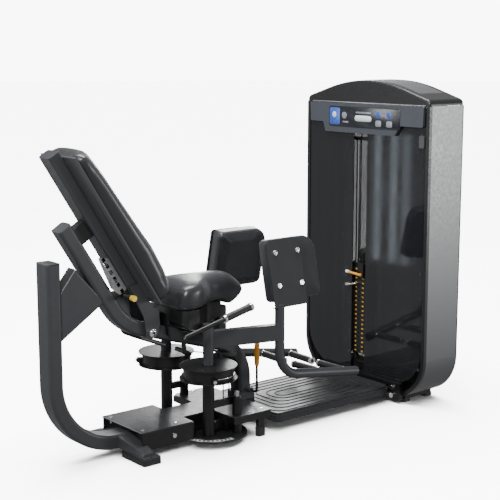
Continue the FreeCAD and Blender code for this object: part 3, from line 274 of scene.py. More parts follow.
def capped_look():
    """Grey tube caps, which face upwards, among black rubber stops."""
    look = Look("caps", 0.42, Specular_IOR_Level=0.5)
    up = look.span(look.maths("MULTIPLY", look.axis("Z"), look.axis("X")), -0.93, -0.9, 1.0, 0.0)
    grain = look.noise(60, 3)
    grey = look.mix(grain, (0.06, 0.062, 0.066), (0.085, 0.088, 0.093))
    black = look.mix(grain, (0.007, 0.007, 0.0075), (0.012, 0.012, 0.0125))
    look.colour(look.mix(up, black, grey))
    look.rough(grain, 0.36, 0.5)
    look.bump(look.noise(1200, 2), 0.00006, 0.5, 0.0012)
    return look.material


def scale_look():
    """The recline scale: bright metal with a row of dark windows down its slope."""
    look = Look("recline_scale", 0.3, 1.0)
    down = look.maths("SUBTRACT", look.maths("MULTIPLY", look.axis("X"), 0.53),
                      look.maths("MULTIPLY", look.axis("Z"), 0.848))
    across = look.maths("ADD", look.maths("MULTIPLY", look.axis("X"), 0.848),
                        look.maths("MULTIPLY", look.axis("Z"), 0.53))
    row = look.maths("LESS_THAN", look.maths("PINGPONG", down, 0.017), 0.0095)
    column = look.maths("COMPARE", across, -0.1955, 0.0075)
    window = look.maths("MULTIPLY", row, column)
    cloud = look.noise(45, 4)
    look.colour(look.mix(window, look.mix(cloud, (0.2, 0.204, 0.212), (0.36, 0.365, 0.375)),
                         (0.008, 0.008, 0.0085)))
    look.rough(cloud, 0.22, 0.4)
    look.bump(look.noise(900, 2), 0.00003, 0.4, 0.001)
    return look.material


CHARCOAL = (0.042, 0.0445, 0.049)
BLACK = (0.0055, 0.0056, 0.006)
looks = {
    "frame_paint": powder_coat("frame_paint", CHARCOAL),
    "deck_paint": powder_coat("deck_paint", (0.028, 0.029, 0.032), 0.34, 0.45),
    "index_paint": index_paint(),
    "ribbed_rubber": rubber("ribbed_rubber", (0.016, 0.0165, 0.018), 0.36, 700),
    "rubber": rubber("rubber", (0.012, 0.012, 0.013)),
    "grip_rubber": rubber("grip_rubber", (0.008, 0.008, 0.0085), 0.42, 1200),
    "upholstery": vinyl("upholstery", (0.017, 0.0185, 0.0215), 0.31),
    "black_plastic": moulding("black_plastic", (0.0095, 0.0097, 0.0105), 0.34),
    "chrome": bright_metal("chrome", (0.82, 0.82, 0.84), 0.12),
    "steel": bright_metal("steel", (0.56, 0.56, 0.58), 0.28, (1, 1, 0.05)),
    # The range lever's grip turns a lighter orange towards its tip: a painted highlight.
    "orange_plastic": two_tone("orange_plastic", "Z", 0.4285, (0.72, 0.27, 0.012),
                               (0.9, 0.55, 0.1)),
    "yellow_plastic": two_tone("yellow_plastic", "Y", -0.0915, (0.85, 0.55, 0.05),
                               (0.02, 0.02, 0.021)),
    "scale_silver": scale_look(),
    "pulley_nylon": moulding("pulley_nylon", (0.02, 0.02, 0.021), 0.38),
    "cable_jacket": moulding("cable_jacket", (0.012, 0.012, 0.013), 0.35, 0),
    "shell_paint": silver_shell(),
    "smoked_shield": smoked_shield(),
    "placard_plastic": moulding("placard_plastic", (0.044, 0.049, 0.06), 0.34),
    "plate_paint": powder_coat("plate_paint", (0.01, 0.01, 0.0105), 0.45, 0.2),
}
slot_of_node = {s["node"]: s["material_slot"] for s in frame["record"]["subparts"]}
for name, node in nodes.items():
    node.data.materials.clear()
    node.data.materials.append(looks[slot_of_node[name]])
# Black parts. On the platform base this black also stands for the shade in the undercut below the
# deck: painted shade.
BLACK_PAINT_AND_SHADE = powder_coat("black_paint_and_shade", BLACK, 0.34, 0.2)
for name in ("platform_base", "lever_rod", "pivot_posts", "tower_frame", "stack_head", "drum_right",
             "drum_left", "seat_support", "handle_tubes"):
    nodes[name].data.materials[0] = BLACK_PAINT_AND_SHADE
nodes["caps_and_bumpers"].data.materials[0] = capped_look()
ORANGE_BAR = two_tone("orange_bar", "Y", 0.095, (0.78, 0.33, 0.03), (0.75, 0.76, 0.78))
nodes["increment_lever"].data.materials[0] = ORANGE_BAR
# The board takes a lighter copy of the cushion vinyl: painted light that lifts its recessed, shaded
# sides.
nodes["back_board"].data.materials[0] = vinyl("board_cover", (0.03, 0.032, 0.036), 0.4)
nodes["selector_pin"].data.materials[0] = bright_metal("pin_chrome", (0.8, 0.78, 0.72), 0.15)


# ------------------------------------------------------------------ building pieces
def link(name, mesh, body, slot, look=None):
    """A new piece at the origin, with its place in its mesh."""
    piece = bpy.data.objects.new(name, mesh)
    collection.objects.link(piece)
    mesh.materials.append(look or looks[slot])
    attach(piece, body)
    return piece


def mesh_from(name, build, smooth=35):
    """A mesh made by build(bm), shaded smooth up to that angle."""
    bm = bmesh.new()
    build(bm)
    bmesh.ops.recalc_face_normals(bm, faces=bm.faces)
    mesh = bpy.data.meshes.new(name)
    bm.to_mesh(mesh)
    bm.free()
    mesh.polygons.foreach_set("use_smooth", [True] * len(mesh.polygons))
    mesh.set_sharp_from_angle(angle=math.radians(smooth))
    return mesh


def rounded(corners, steps=6):
    """The outline through corners (u, v, radius), with arcs at the corners."""
    points = []
    count = len(corners)
    for i, (u, v, radius) in enumerate(corners):
        here = Vector((u, v))
        back = (Vector(corners[i - 1][:2]) - here).normalized()
        ahead = (Vector(corners[(i + 1) % count][:2]) - here).normalized()
        half = back.angle(ahead) / 2
        if radius <= 0 or half > math.pi / 2 - 0.01:
            points.append(here)
            continue
        reach = radius / math.tan(half)
        centre = here + (back + ahead).normalized() * (radius / math.sin(half))
        start, end = here + back * reach - centre, here + ahead * reach - centre
        turn = start.angle_signed(end)
        for k in range(steps + 1):
            angle = -turn * k / steps
            points.append(centre + Matrix.Rotation(angle, 2) @ start)
    return points


def loft(bm, rings):
    """Joins rings of equal length into a skin, and closes its two ends."""
    made = [[bm.verts.new(p) for p in ring] for ring in rings]
    count = len(made[0])
    for lower, upper in zip(made, made[1:]):
        for k in range(count):
            bm.faces.new((lower[k], lower[(k + 1) % count], upper[(k + 1) % count], upper[k]))
    bm.faces.new(list(reversed(made[0])))
    bm.faces.new(made[-1])


def tube(name, points, radius, body, slot, closed=False):
    """A thin round tube through points."""
    curve = bpy.data.curves.new(name, "CURVE")
    curve.dimensions = "3D"
    curve.bevel_depth = radius
    curve.bevel_resolution = 2
    spline = curve.splines.new("POLY")
    spline.points.add(len(points) - 1)
    for point, place in zip(spline.points, points):
        point.co = (*place, 1)
    spline.use_cyclic_u = closed
    maker = bpy.data.objects.new(name + "_curve", curve)
    mesh = bpy.data.meshes.new_from_object(maker)
    bpy.data.objects.remove(maker)
    mesh.name = name
    mesh.polygons.foreach_set("use_smooth", [True] * len(mesh.polygons))
    return link(name, mesh, body, slot)


# ------------------------------------------------------------------ upholstery
VOXEL = 0.006
FURTHEST_MOVE = 0.006
PRESSURE = 4.0
CLOTH_FRAMES = 15
STITCH_PITCH = 0.0075
STITCH_LENGTH = 0.0045
STITCH_WIDTH = 0.0011
STITCH_OFFSET = 0.006


def remeshed(piece, voxel):
    change = piece.modifiers.new("voxels", "REMESH")
    change.mode = "VOXEL"
    change.voxel_size = voxel
    settled = bpy.data.meshes.new_from_object(
        piece.evaluated_get(bpy.context.evaluated_depsgraph_get()))
    piece.modifiers.clear()
    return settled


def seam_spots(seams, spacing=0.003):
    spots = []
    for seam in seams:
        for start, end in zip(seam, seam[1:]):
            steps = max(1, int((end - start).length / spacing))
            spots += [start.lerp(end, k / steps) for k in range(steps)]
        spots.append(seam[-1])
    tree = kdtree.KDTree(len(spots))
    for i, spot in enumerate(spots):
        tree.insert(spot, i)
    tree.balance()
    return tree


def puffed(name, mesh, seams, soften):
    """The cushion's skin after a cloth simulation: seams hold still while panels fill out."""
    piece = bpy.data.objects.new(name, mesh)
    collection.objects.link(piece)
    skin = remeshed(piece, VOXEL)
    bpy.data.objects.remove(piece)
    piece = bpy.data.objects.new(name, skin)
    collection.objects.link(piece)
    start = [v.co.copy() for v in skin.vertices]
    tree = seam_spots(seams)
    held = piece.vertex_groups.new(name="seams")
    for v in skin.vertices:
        away = tree.find(v.co)[2]
        held.add([v.index], max(0.0, min(1.0, 1.6 - away / (VOXEL * 0.9))), "REPLACE")
    cloth = piece.modifiers.new("cloth", "CLOTH")
    cloth.settings.use_pressure = True
    cloth.settings.uniform_pressure_force = PRESSURE
    cloth.settings.vertex_group_mass = "seams"
    cloth.settings.tension_stiffness = 25
    cloth.settings.compression_stiffness = 25
    cloth.settings.bending_stiffness = 1.5
    cloth.settings.effector_weights.gravity = 0
    scene = bpy.context.scene
    for step in range(1, CLOTH_FRAMES + 1):
        scene.frame_set(step)
    shown = piece.evaluated_get(bpy.context.evaluated_depsgraph_get())
    moved = [v.co.copy() for v in shown.data.vertices]
    piece.modifiers.clear()
    scene.frame_set(1)
    for v, before, after in zip(skin.vertices, start, moved):
        shift = after - before
        if shift.length > FURTHEST_MOVE:
            shift *= FURTHEST_MOVE / shift.length
        v.co = before + shift
    bm = bmesh.new()
    bm.from_mesh(skin)
    for _ in range(soften):
        bmesh.ops.smooth_vert(bm, verts=bm.verts, factor=0.4, use_axis_x=True, use_axis_y=True,
                              use_axis_z=True)
    bm.to_mesh(skin)
    bm.free()
    bpy.data.objects.remove(piece)
    return skin


def groove(skin, seams, deep, wide):
    """Draws the skin in along its seams."""
    tree = seam_spots(seams)
    for v in skin.vertices:
        away = tree.find(v.co)[2]
        if away < wide:
            v.co -= v.normal * deep * (1 - (away / wide) ** 2)


def upholstered(name, mesh, seams, body, soften=3):
    """The finished cushion: simulated, subdivided, drawn in at its seams, and stitched."""
    skin = puffed(name, mesh, seams, soften)
    maker = bpy.data.objects.new(name + "_fine", skin)
    collection.objects.link(maker)
    finer = maker.modifiers.new("finer", "SUBSURF")
    finer.levels = finer.render_levels = 1
    fine = bpy.data.meshes.new_from_object(maker.evaluated_get(
        bpy.context.evaluated_depsgraph_get()))
    bpy.data.objects.remove(maker)
    groove(fine, seams, 0.0014, 0.0055)
    fine.name = name
    fine.materials.clear()
    fine.polygons.foreach_set("use_smooth", [True] * len(fine.polygons))
    cushion = link(name, fine, body, "upholstery")
    skin_tree = BVHTree.FromPolygons([v.co for v in fine.vertices],
                                     [p.vertices for p in fine.polygons])
    for index, seam in enumerate(seams):
        snapped = []
        for point in seam:
            place, normal = skin_tree.find_nearest(point)[:2]
            snapped.append(place + normal * 0.0004)
        tube("%s_seam_%d" % (name, index), snapped, 0.0011, body, "upholstery")
        stitches("%s_stitch_%d" % (name, index), seam, skin_tree, body)
    return cushion


def stitches(name, seam, skin_tree, body):
    """A row of thread stitches beside a seam, lying on the skin."""
    spots, walked = [], 0.0
    for start, end in zip(seam, seam[1:]):
        run = (end - start).length
        while walked < run:
            spots.append((start.lerp(end, walked / run), (end - start).normalized()))
            walked += STITCH_PITCH
        walked -= run

    thread = Matrix.Diagonal((STITCH_LENGTH, STITCH_WIDTH, STITCH_WIDTH, 1))

    def build(bm):
        for place, along in spots:
            on_skin, normal = skin_tree.find_nearest(place)[:2]
            beside = normal.cross(along).normalized() * STITCH_OFFSET
            on_skin, normal = skin_tree.find_nearest(on_skin + beside)[:2]
            turn = Matrix((along, normal.cross(along).normalized(), normal)).transposed().to_4x4()
            shape = Matrix.Translation(on_skin + normal * 0.0003) @ turn
            bmesh.ops.create_uvsphere(bm, u_segments=5, v_segments=4, radius=0.5,
                                      matrix=shape @ thread)
    return link(name, mesh_from(name, build, 60), body, "upholstery", THREAD)


def thread_look():
    look = Look("thread", 0.7)
    look.colour(look.mix(look.noise(900, 2), (0.03, 0.031, 0.034), (0.075, 0.077, 0.082)))
    look.bump(look.noise(2500, 2), 0.0001, 0.5)
    return look.material


THREAD = thread_look()


# ------------------------------------------------------------------ back cushion
BACK_START = Vector((-1.021, 0, 1.317))
BACK_ANGLE = math.radians(57.96)
BACK_FRONT = [(0.020, 0.112), (0.048, 0.135), (0.171, 0.149), (0.301, 0.156), (0.471, 0.168),
              (0.572, 0.178), (0.689, 0.173), (0.769, 0.161), (0.803, 0.138)]


def on_back(along, side, out):
    """A place on the backrest: along it from its top, to the left, and out from its rear face."""
    return BACK_START + Vector((along * math.cos(BACK_ANGLE) + out * math.sin(BACK_ANGLE), side,
                                -along * math.sin(BACK_ANGLE) + out * math.cos(BACK_ANGLE)))


def between(points, place):
    """The height of a broken line of (place, height) points."""
    if place <= points[0][0]:
        return points[0][1]
    for (u0, v0), (u1, v1) in zip(points, points[1:]):
        if place <= u1:
            return v0 + (v1 - v0) * (place - u0) / (u1 - u0)
    return points[-1][1]


def back_section(along, inset):
    """One section of the back cushion: a tall octagon with a crowned front."""
    rear = 0.0600
    front = between(BACK_FRONT, along) - 0.004
    deep = front - rear
    half = 0.146 - inset
    bevel = min(0.034, deep * 0.4)
    shape = [(half - 0.016, rear), (half, rear + deep * 0.3), (half, front - bevel),
             (half - 0.040, front), (half * 0.4, front + 0.0035), (0, front + 0.0045)]
    ring = shape + [(-u, v) for u, v in reversed(shape[:-1])]
    return [on_back(along, u, v) for u, v in ring]


BACK_STATIONS = [(0.030, 0.030), (0.052, 0.004), (0.075, 0.0), (0.171, 0.0), (0.301, 0.0),
                 (0.471, 0.0), (0.572, 0.0), (0.689, 0.0), (0.760, 0.0), (0.785, 0.006),
                 (0.800, 0.026)]
back_mesh = mesh_from("back_shape", lambda bm: loft(bm, [back_section(*s) for s in BACK_STATIONS]))


def loop_on_back(corner, first, last):
    """A closed seam through one corner of the sections, down one side and up the other."""
    chosen = [s for s in BACK_STATIONS if first <= s[0] <= last]
    down = [back_section(*s)[corner] for s in chosen]
    up = [back_section(*s)[10 - corner] for s in chosen]
    return down + up[::-1] + down[:1]


back_pad = upholstered("back_cushion", back_mesh,
                       [loop_on_back(3, 0.05, 0.79)],
                       body_of_node["back_pad"], soften=9)
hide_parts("back_pad")

# ------------------------------------------------------------------ seat cushion
SEAT_HALF = [(-0.434, 0.116), (-0.420, 0.140), (-0.400, 0.146), (-0.345, 0.146), (-0.318, 0.136),
             (-0.265, 0.096), (-0.242, 0.080), (-0.215, 0.069), (-0.170, 0.062), (-0.050, 0.060),
             (-0.028, 0.054), (-0.012, 0.040), (-0.006, 0.028)]
SEAT_TOP = [(-0.436, 0.700), (-0.398, 0.731), (-0.300, 0.743), (-0.200, 0.747), (-0.112, 0.743),
            (-0.085, 0.732), (-0.042, 0.702), (-0.006, 0.660)]
SEAT_LOW = [(-0.436, 0.6175), (-0.140, 0.6175), (-0.096, 0.590), (-0.050, 0.618), (-0.006, 0.649)]
SEAT_STATIONS = [-0.434, -0.420, -0.400, -0.372, -0.345, -0.318, -0.290, -0.265, -0.242, -0.215,
                 -0.170, -0.140, -0.112, -0.096, -0.072, -0.050, -0.028, -0.012, -0.006]


def seat_section(x):
    """One section of the seat cushion: flat below, with rolled edges and a crowned top."""
    half, top, low = between(SEAT_HALF, x), between(SEAT_TOP, x), between(SEAT_LOW, x)
    edge = min(0.034, (top - low) * 0.42, half * 0.6)
    shape = [(half - 0.012, low), (half - 0.002, low + 0.010), (half, top - edge),
             (half - edge * 0.34, top - edge * 0.36), (half - edge, top - 0.003),
             (half * 0.3, top + 0.005), (0, top + 0.006)]
    return [Vector((x, u, v)) for u, v in shape + [(-u, v) for u, v in reversed(shape[:-1])]]


def loop_on_seat(corner):
    """A closed seam through one corner of the sections, along one side and back the other."""
    left = [seat_section(x)[corner] for x in SEAT_STATIONS]
    right = [seat_section(x)[12 - corner] for x in SEAT_STATIONS]
    return left + right[::-1] + left[:1]


seat_mesh = mesh_from("seat_shape", lambda bm: loft(bm, [seat_section(x) for x in SEAT_STATIONS]))
seat = upholstered("seat_cushion", seat_mesh, [loop_on_seat(1)],
                   body_of_node["seat_pad"], soften=40)
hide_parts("seat_pad")

# ------------------------------------------------------------------ knee cushions
KNEE_OUTLINE = [(-0.009, 0.006, 0.022), (0.283, 0.006, 0.034), (0.283, 0.294, 0.072),
                (-0.009, 0.294, 0.022)]
KNEE_THICK = 0.082
KNEE_LEAN = math.radians(12)


def knee_place(side):
    """The frame of one knee pad: on the face of its plate, leaning outwards."""
    return Matrix.Translation((0, side * 0.262, 0.617)) @ Matrix.Rotation(side * KNEE_LEAN, 4, "X")


def knee_ring(side, inset, deep):
    """The pad's outline, drawn in by inset, at a depth in from its plate."""
    corners = [(u + math.copysign(inset, 0.137 - u), v + math.copysign(inset, 0.15 - v),
                max(0.004, r - inset)) for u, v, r in KNEE_OUTLINE]
    place = knee_place(side)
    return [place @ Vector((u, -side * deep, v)) for u, v in rounded(corners, 8)]


KNEE_STEPS = [(0.010, 0.0015), (0.0, 0.010), (0.0, 0.030), (0.0, KNEE_THICK - 0.024),
              (0.006, KNEE_THICK - 0.010), (0.020, KNEE_THICK - 0.003)]
for side, word in ((-1, "right"), (1, "left")):
    rings = [knee_ring(side, inset, deep) for inset, deep in KNEE_STEPS]
    shape = mesh_from("knee_shape_" + word, lambda bm: loft(bm, rings))
    seams = [rings[1] + rings[1][:1], rings[3] + rings[3][:1]]
    name = "knee_pad_" + word
    pad = upholstered("knee_cushion_" + word, shape, seams, body_of_node[name])
    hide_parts(name)


# ------------------------------------------------------------------ turned and flat details
def lathe(name, start, direction, profile, body, slot):
    """A turned piece: profile is (distance along, radius) points from start."""
    sides = 36
    turn = Vector((0, 0, 1)).rotation_difference(Vector(direction)).to_matrix().to_4x4()
    place = Matrix.Translation(start) @ turn
    rings = [[place @ Vector((r * math.cos(2 * math.pi * k / sides),
                              r * math.sin(2 * math.pi * k / sides), z)) for k in range(sides)]
             for z, r in profile]
    return link(name, mesh_from(name, lambda bm: loft(bm, rings)), body, slot)


def button_bolt(name, seat_at, direction, radius, high, body):
    """A domed button head whose hexagonal socket is coloured black as painted shade."""
    sides = 48
    turn = Vector((0, 0, 1)).rotation_difference(Vector(direction)).to_matrix().to_4x4()
    place = Matrix.Translation(seat_at) @ turn
    profile = [(0, 1.0), (0.25, 1.0), (0.55, 0.93), (0.82, 0.76), (1.0, 0.52)]
    rings = [[place @ Vector((radius * r * math.cos(2 * math.pi * k / sides),
                              radius * r * math.sin(2 * math.pi * k / sides), high * z))
              for k in range(sides)] for z, r in profile]
    for z, size in ((1.0, 0.44), (0.35, 0.42)):
        ring = []
        for k in range(sides):
            angle = 2 * math.pi * k / sides
            off_flat = (angle + math.pi / 6) % (math.pi / 3) - math.pi / 6
            r = radius * size * math.cos(math.pi / 6) / math.cos(off_flat)
            ring.append(place @ Vector((r * math.cos(angle), r * math.sin(angle), high * z)))
        rings.append(ring)
    bolt = link(name, mesh_from(name, lambda bm: loft(bm, rings), 28), body, "chrome")
    # The socket's walls and floor take black plastic: painted shade in the recess.
    bolt.data.materials.append(looks["black_plastic"])
    for face in bolt.data.polygons:
        if min(face.vertices) >= len(profile) * sides:
            face.material_index = 1
    return bolt


def plaque(name, outline, axis, level, thick, bevel, body, slot, look=None):
    """A thin plate with a softened rim: outline in the two axes other than axis, from level up."""
    def to_space(u, v, w):
        return {"X": Vector((w, u, v)), "Y": Vector((u, w, v)), "Z": Vector((u, v, w))}[axis]

    centre = sum((Vector(p) for p in outline), Vector((0, 0))) / len(outline)
    small = [centre + (Vector(p) - centre) * (1 - bevel / max(0.004, (Vector(p) - centre).length))
             for p in outline]
    rings = [[to_space(p[0], p[1], level) for p in outline],
             [to_space(p[0], p[1], level + thick * 0.6) for p in outline],
             [to_space(p[0], p[1], level + thick) for p in small]]
    return link(name, mesh_from(name, lambda bm: loft(bm, rings), 50), body, slot, look)


def oblong(low, high, radius, steps=5):
    """The outline of a rectangle with rounded corners."""
    return rounded([(low[0], low[1], radius), (high[0], low[1], radius),
                    (high[0], high[1], radius), (low[0], high[1], radius)], steps)


KNEE_BOLTS = [(0.028, 0.078), (0.028, 0.229), (0.162, 0.078), (0.162, 0.229)]
PLATE_FACE = 0.0052
HANDLE_Y = 0.250
for side, word in ((-1, "right"), (1, "left")):
    place = knee_place(side)
    outward = (place.to_3x3() @ Vector((0, side, 0))).normalized()
    arm = body_of_node["knee_pad_" + word]
    for i, (u, v) in enumerate(KNEE_BOLTS):
        seat_at = place @ Vector((u, side * PLATE_FACE, v))
        button_bolt("knee_bolt_%s_%d" % (word, i), seat_at, outward, 0.0118, 0.0065, arm)
    handle_end = Vector((-0.136, side * HANDLE_Y, 0.622))
    grip_line = (handle_end - Vector((-0.325, side * HANDLE_Y, 0.577))).normalized()
    lathe("handle_cap_" + word, handle_end - grip_line * 0.0005, grip_line,
          [(0, 0.0185), (0.002, 0.0188), (0.0045, 0.0175), (0.0055, 0.012), (0.0058, 0.002)],
          "root", "chrome")

fasteners = nodes["frame_fasteners"].data.vertices
RECLINE_X, RECLINE_Z = -0.540, 0.527
pivot_end = min(v.co.y for v in fasteners
                if math.hypot(v.co.x - RECLINE_X, v.co.z - RECLINE_Z) < 0.02)
button_bolt("recline_bolt", Vector((RECLINE_X, pivot_end - 0.0002, RECLINE_Z)), (0, -1, 0),
            0.0165, 0.006, "root")
# A steel strip along the deck's rear edge: bare worn metal, and a bright line placed as a painted
# highlight.
tube("deck_edge", [Vector((-0.6722, y, 0.1196)) for y in (-0.156, 0.156)], 0.0012, "root", "steel")


# ------------------------------------------------------------------ the range lever's grip
def lever_shape(bm):
    route = [(0.020, 0.289), (0.020, 0.296), (0.020, 0.345), (0.020, 0.396), (0.024, 0.409),
             (0.034, 0.421), (0.045, 0.432), (0.051, 0.438)]
    sizes = [0.0095, 0.0125, 0.0140, 0.0130, 0.0120, 0.0105, 0.0095, 0.0060]
    rings = []
    for k, ((x, z), r) in enumerate(zip(route, sizes)):
        before, after = route[max(0, k - 1)], route[min(len(route) - 1, k + 1)]
        along = Vector((after[0] - before[0], 0, after[1] - before[1])).normalized()
        across = Vector((0, 1, 0))
        other = along.cross(across)
        rings.append([Vector((x, -0.100, z)) + across * r * 0.86 * math.cos(a * math.pi / 12)
                      + other * r * math.sin(a * math.pi / 12) for a in range(24)])
    loft(bm, rings)


grip = link("lever_hand_grip", mesh_from("lever_hand_grip", lever_shape, 50),
            body_of_node["lever_grip"], "orange_plastic")
smoother = grip.modifiers.new("smoother", "SUBSURF")
smoother.levels = smoother.render_levels = 2
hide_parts("lever_grip")

# ------------------------------------------------------------------ ribbed step mat
mat_low, mat_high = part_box("step_mat")
RIBS = 6
for i in range(RIBS):
    inset = 0.012 + i * 0.037
    low = (mat_low.x + inset, mat_low.y + inset)
    high = (mat_high.x - inset, mat_high.y - inset)
    if high[1] - low[1] < 0.012:
        break
    outline = oblong(low, high, min(0.062, (high[1] - low[1]) / 2 - 0.001), 6)
    tube("mat_rib_%02d" % i, [Vector((u, v, mat_high.z + 0.0002)) for u, v in outline], 0.0034,
         "root", "ribbed_rubber", closed=True)

# ------------------------------------------------------------------ tower details
tower_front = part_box("placard")[0].x


def screen_look(name, colour, roughness=0.25):
    look = Look(name, roughness, Specular_IOR_Level=0.5)
    look.colour(look.mix(look.noise(14, 4), shade(colour, 0.85), shade(colour, 1.15)))
    look.rough(look.noise(70, 3), roughness - 0.05, roughness + 0.08)
    look.bump(look.noise(1200, 2), 0.00004, 0.4)
    return look.material


def marked_look(name, colour):
    """A printed label: broken into soft marks on a dark ground."""
    look = Look(name, 0.38, Specular_IOR_Level=0.5)
    marks = look.span(look.noise(170, 1), 0.4, 0.46)
    look.colour(look.mix(marks, (0.012, 0.011, 0.01), colour))
    look.rough(look.noise(70, 3), 0.32, 0.45)
    return look.material


SCREEN = screen_look("placard_screen", (0.011, 0.0125, 0.017), 0.2)
BLUE = screen_look("placard_blue", (0.03, 0.085, 0.38))
WHITE = screen_look("placard_white", (0.62, 0.64, 0.66))
GREY = screen_look("placard_grey", (0.2, 0.22, 0.25))
AMBER = marked_look("plate_amber", (0.6, 0.33, 0.03))
LATCH = screen_look("latch_grey", (0.05, 0.052, 0.056), 0.3)


def facing_front(name, low, high, radius, level, thick, look, slot="placard_plastic",
                 body="root"):
    """A thin plate on the tower's front, from low to high in (y, z)."""
    outline = oblong(low, high, radius)
    return plaque(name, outline, "X", level, -thick, 0.0008, body, slot, look)


facing_front("screen", (-0.250, 1.362), (0.252, 1.466), 0.014, tower_front, 0.0012, SCREEN)
MARKS = [((0.170, 1.372), (0.245, 1.458), 0.010, BLUE),
         ((0.196, 1.408), (0.226, 1.438), 0.0149, WHITE),
         ((0.120, 1.404), (0.156, 1.438), 0.0169, GREY),
         ((0.108, 1.384), (0.150, 1.392), 0.003, GREY),
         ((-0.056, 1.395), (0.062, 1.424), 0.0144, WHITE),
         ((-0.050, 1.434), (0.056, 1.442), 0.003, GREY),
         ((-0.118, 1.416), (-0.086, 1.448), 0.0159, BLUE),
         ((-0.124, 1.374), (-0.084, 1.404), 0.008, GREY),
         ((-0.192, 1.416), (-0.160, 1.448), 0.0159, BLUE),
         ((-0.198, 1.374), (-0.158, 1.404), 0.008, GREY)]
for i, (low, high, radius, look) in enumerate(MARKS):
    on_blue = 0.0003 if i == 1 else 0
    facing_front("placard_mark_%d" % i, low, high, radius, tower_front - 0.0013 - on_blue,
                 0.0009, look)

PLATE_MARKS = ((0.016, 0.030), (0.066, 0.077))
MARK_HALF = 0.0042
for name, count in (("weight_plates", 15), ("lifted_plates", 4)):
    low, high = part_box(name)
    pitch = (high.z - low.z) / count
    for i in range(count):
        middle = low.z + pitch * (i + 0.48)
        for k, (right, left) in enumerate(PLATE_MARKS):
            facing_front("%s_mark_%02d_%d" % (name, i, k), (right, middle - MARK_HALF),
                         (left, middle + MARK_HALF), 0.002, low.x, 0.0006, AMBER,
                         "plate_paint", body_of_node[name])
# A steel strip under the cap's front: the cap's silver lower edge, also placed as a painted
# highlight line above the placard.
facing_front("cap_line", (-0.400, 1.4848), (0.390, 1.4892), 0.0018, 0.8052, 0.0022,
             looks["steel"], "steel")
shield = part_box("front_shields")
facing_front("shield_latch", (-0.400, 1.284), (-0.366, 1.346), 0.010, shield[0].x, 0.006, LATCH)

cap_tree = BVHTree.FromPolygons([v.co for v in nodes["tower_cap"].data.vertices],
                                [p.vertices for p in nodes["tower_cap"].data.polygons])


PANEL_HALF = 0.335
PANEL_START = 0.836
PANEL_LENGTH = 0.182


def cap_insert(bm):
    """The textured centre panel of the cap, laid over its arch with a dropped rim."""
    across, along = 48, 10
    grid = []
    for i in range(across + 1):
        y = -PANEL_HALF + 2 * PANEL_HALF * i / across
        row = []
        for k in range(along + 1):
            x = PANEL_START + PANEL_LENGTH * k / along
            above = Vector((x, y, cad_box[1][2] + 0.4))
            top = cap_tree.ray_cast(above, Vector((0, 0, -1)))[0]
            rim = i in (0, across) or k in (0, along)
            row.append(bm.verts.new((x, y, top.z + (-0.001 if rim else 0.0016))))
        grid.append(row)
    for i in range(across):
        for k in range(along):
            bm.faces.new((grid[i][k], grid[i + 1][k], grid[i + 1][k + 1], grid[i][k + 1]))


INSERT = screen_look("cap_insert", (0.05, 0.0515, 0.054), 0.55)
link("cap_panel", mesh_from("cap_panel", cap_insert, 40), "root", "black_plastic", INSERT)

# ------------------------------------------------------------------ stage, light and camera
floor_look = Look("studio_floor", 0.6, Specular_IOR_Level=0.1)
floor_look.colour(floor_look.mix(floor_look.noise(0.8, 3), (0.90, 0.90, 0.90), (0.93, 0.93, 0.93)))
floor_look.rough(floor_look.noise(2, 3), 0.5, 0.62)


def floor_build(bm):
    reach = 60
    rings = [[Vector((r * math.cos(a * math.pi / 24), r * math.sin(a * math.pi / 24), 0))
              for a in range(48)] for r in (reach, 8.0, 2.0)]
    loft(bm, rings)
    bmesh.ops.delete(bm, geom=[f for f in bm.faces if len(f.verts) == 48
                               and f.verts[0].co.length > 9], context="FACES_ONLY")


floor_mesh = mesh_from("studio_floor", floor_build)
floor_mesh.materials.append(floor_look.material)
floor = bpy.data.objects.new("studio_floor", floor_mesh)
collection.objects.link(floor)
floor.visible_diffuse = floor.visible_glossy = False
floor_only = bpy.data.collections.new("floor_only")
floor_only.objects.link(floor)
wash_data = bpy.data.lights.new("floor_wash", "SUN")
wash_data.energy = 29
wash_data.angle = math.radians(75)
wash = bpy.data.objects.new("floor_wash", wash_data)
wash.rotation_euler = (math.radians(-8), math.radians(8), 0)
wash.light_linking.receiver_collection = floor_only
collection.objects.link(wash)


def area_light(name, place, target, size, power, colour=(1, 1, 1)):
    data = bpy.data.lights.new(name, "AREA")
    data.shape = "RECTANGLE"
    data.size, data.size_y = size
    data.energy = power
    data.color = colour
    light = bpy.data.objects.new(name, data)
    light.location = place
    light.rotation_euler = (Vector(target) - Vector(place)).to_track_quat("-Z", "Y").to_euler()
    light.visible_camera = False
    collection.objects.link(light)
    return light


area_light("key", (-3.4, -3.0, 4.2), (-0.2, 0, 0.8), (1.6, 1.6), 300)
area_light("left_fill", (-4.6, 2.0, 2.4), (-0.2, 0, 0.8), (1.0, 2.6), 95)
area_light("top", (0.1, 0.3, 4.6), (0, 0, 0.6), (3.0, 1.4), 300)
area_light("rear_rim", (3.0, 3.4, 2.6), (0.2, 0, 0.9), (1.6, 2.2), 150)
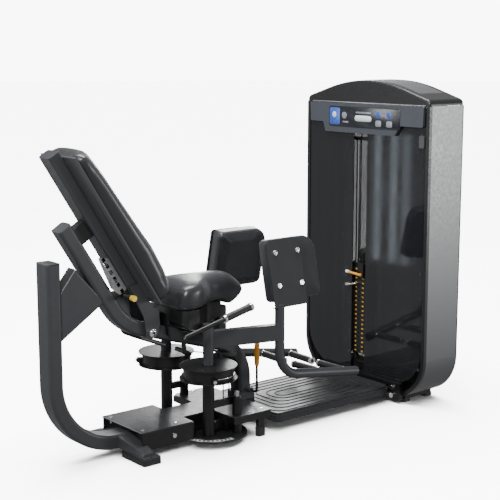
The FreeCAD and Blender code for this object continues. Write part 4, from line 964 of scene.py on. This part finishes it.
# The knee plates lean so that they would mirror this light towards the camera.
side_light = area_light("right_fill", (4.5, -4.6, 0.9), (0.9, -0.4, 1.0), (1.2, 1.3), 105)
out_of_side_light = bpy.data.collections.new("out_of_side_light")
for side in ("right", "left"):
    out_of_side_light.objects.link(nodes["knee_plate_" + side])
    out_of_side_light.objects.link(bpy.data.objects["knee_cushion_" + side])
for member in out_of_side_light.collection_objects:
    member.light_linking.link_state = "EXCLUDE"
side_light.light_linking.receiver_collection = out_of_side_light
# Narrow lights whose mirror images stand as streaks on the smoked shield.
CAMERA_AT = (-3.4059, -4.2482, 1.7583)
SHIELD_X = 0.809
STREAKS = [(-0.09, 0.045, 0.42), (-0.20, 0.05, 0.42), (-0.285, 0.06, 0.3)]
mirrored = Vector((2 * SHIELD_X - CAMERA_AT[0], CAMERA_AT[1]))
for i, (across, wide, power) in enumerate(STREAKS):
    spot = mirrored + 1.5 * (Vector((SHIELD_X, across)) - mirrored)
    area_light("streak_%d" % i, (spot.x, spot.y, 0.66), (SHIELD_X, across, 1.0), (wide, 0.95),
               power, (0.78, 0.9, 1.0))

# The background is white to the camera and dimmer as a light on the machine.
world = bpy.data.worlds.new("studio")
world.use_nodes = True
tree = world.node_tree
sky = tree.nodes["Background"]
sky.inputs["Color"].default_value = (1, 1, 1, 1)
sky.inputs["Strength"].default_value = 0.42
bright = tree.nodes.new("ShaderNodeBackground")
bright.inputs["Color"].default_value = (1, 1, 1, 1)
bright.inputs["Strength"].default_value = 9.0
path = tree.nodes.new("ShaderNodeLightPath")
either = tree.nodes.new("ShaderNodeMixShader")
tree.links.new(path.outputs["Is Camera Ray"], either.inputs[0])
tree.links.new(sky.outputs[0], either.inputs[1])
tree.links.new(bright.outputs[0], either.inputs[2])
tree.links.new(either.outputs[0], tree.nodes["World Output"].inputs["Surface"])
bpy.context.scene.world = world

lens = bpy.data.cameras.new("camera")
lens.lens = 85.3
lens.sensor_width = 36
lens.clip_end = 200
camera = bpy.data.objects.new("camera", lens)
camera.location = CAMERA_AT
camera.rotation_euler = Vector((0.6232, 0.7638, -0.1682)).to_track_quat("-Z", "Y").to_euler()
collection.objects.link(camera)
bpy.context.scene.camera = camera
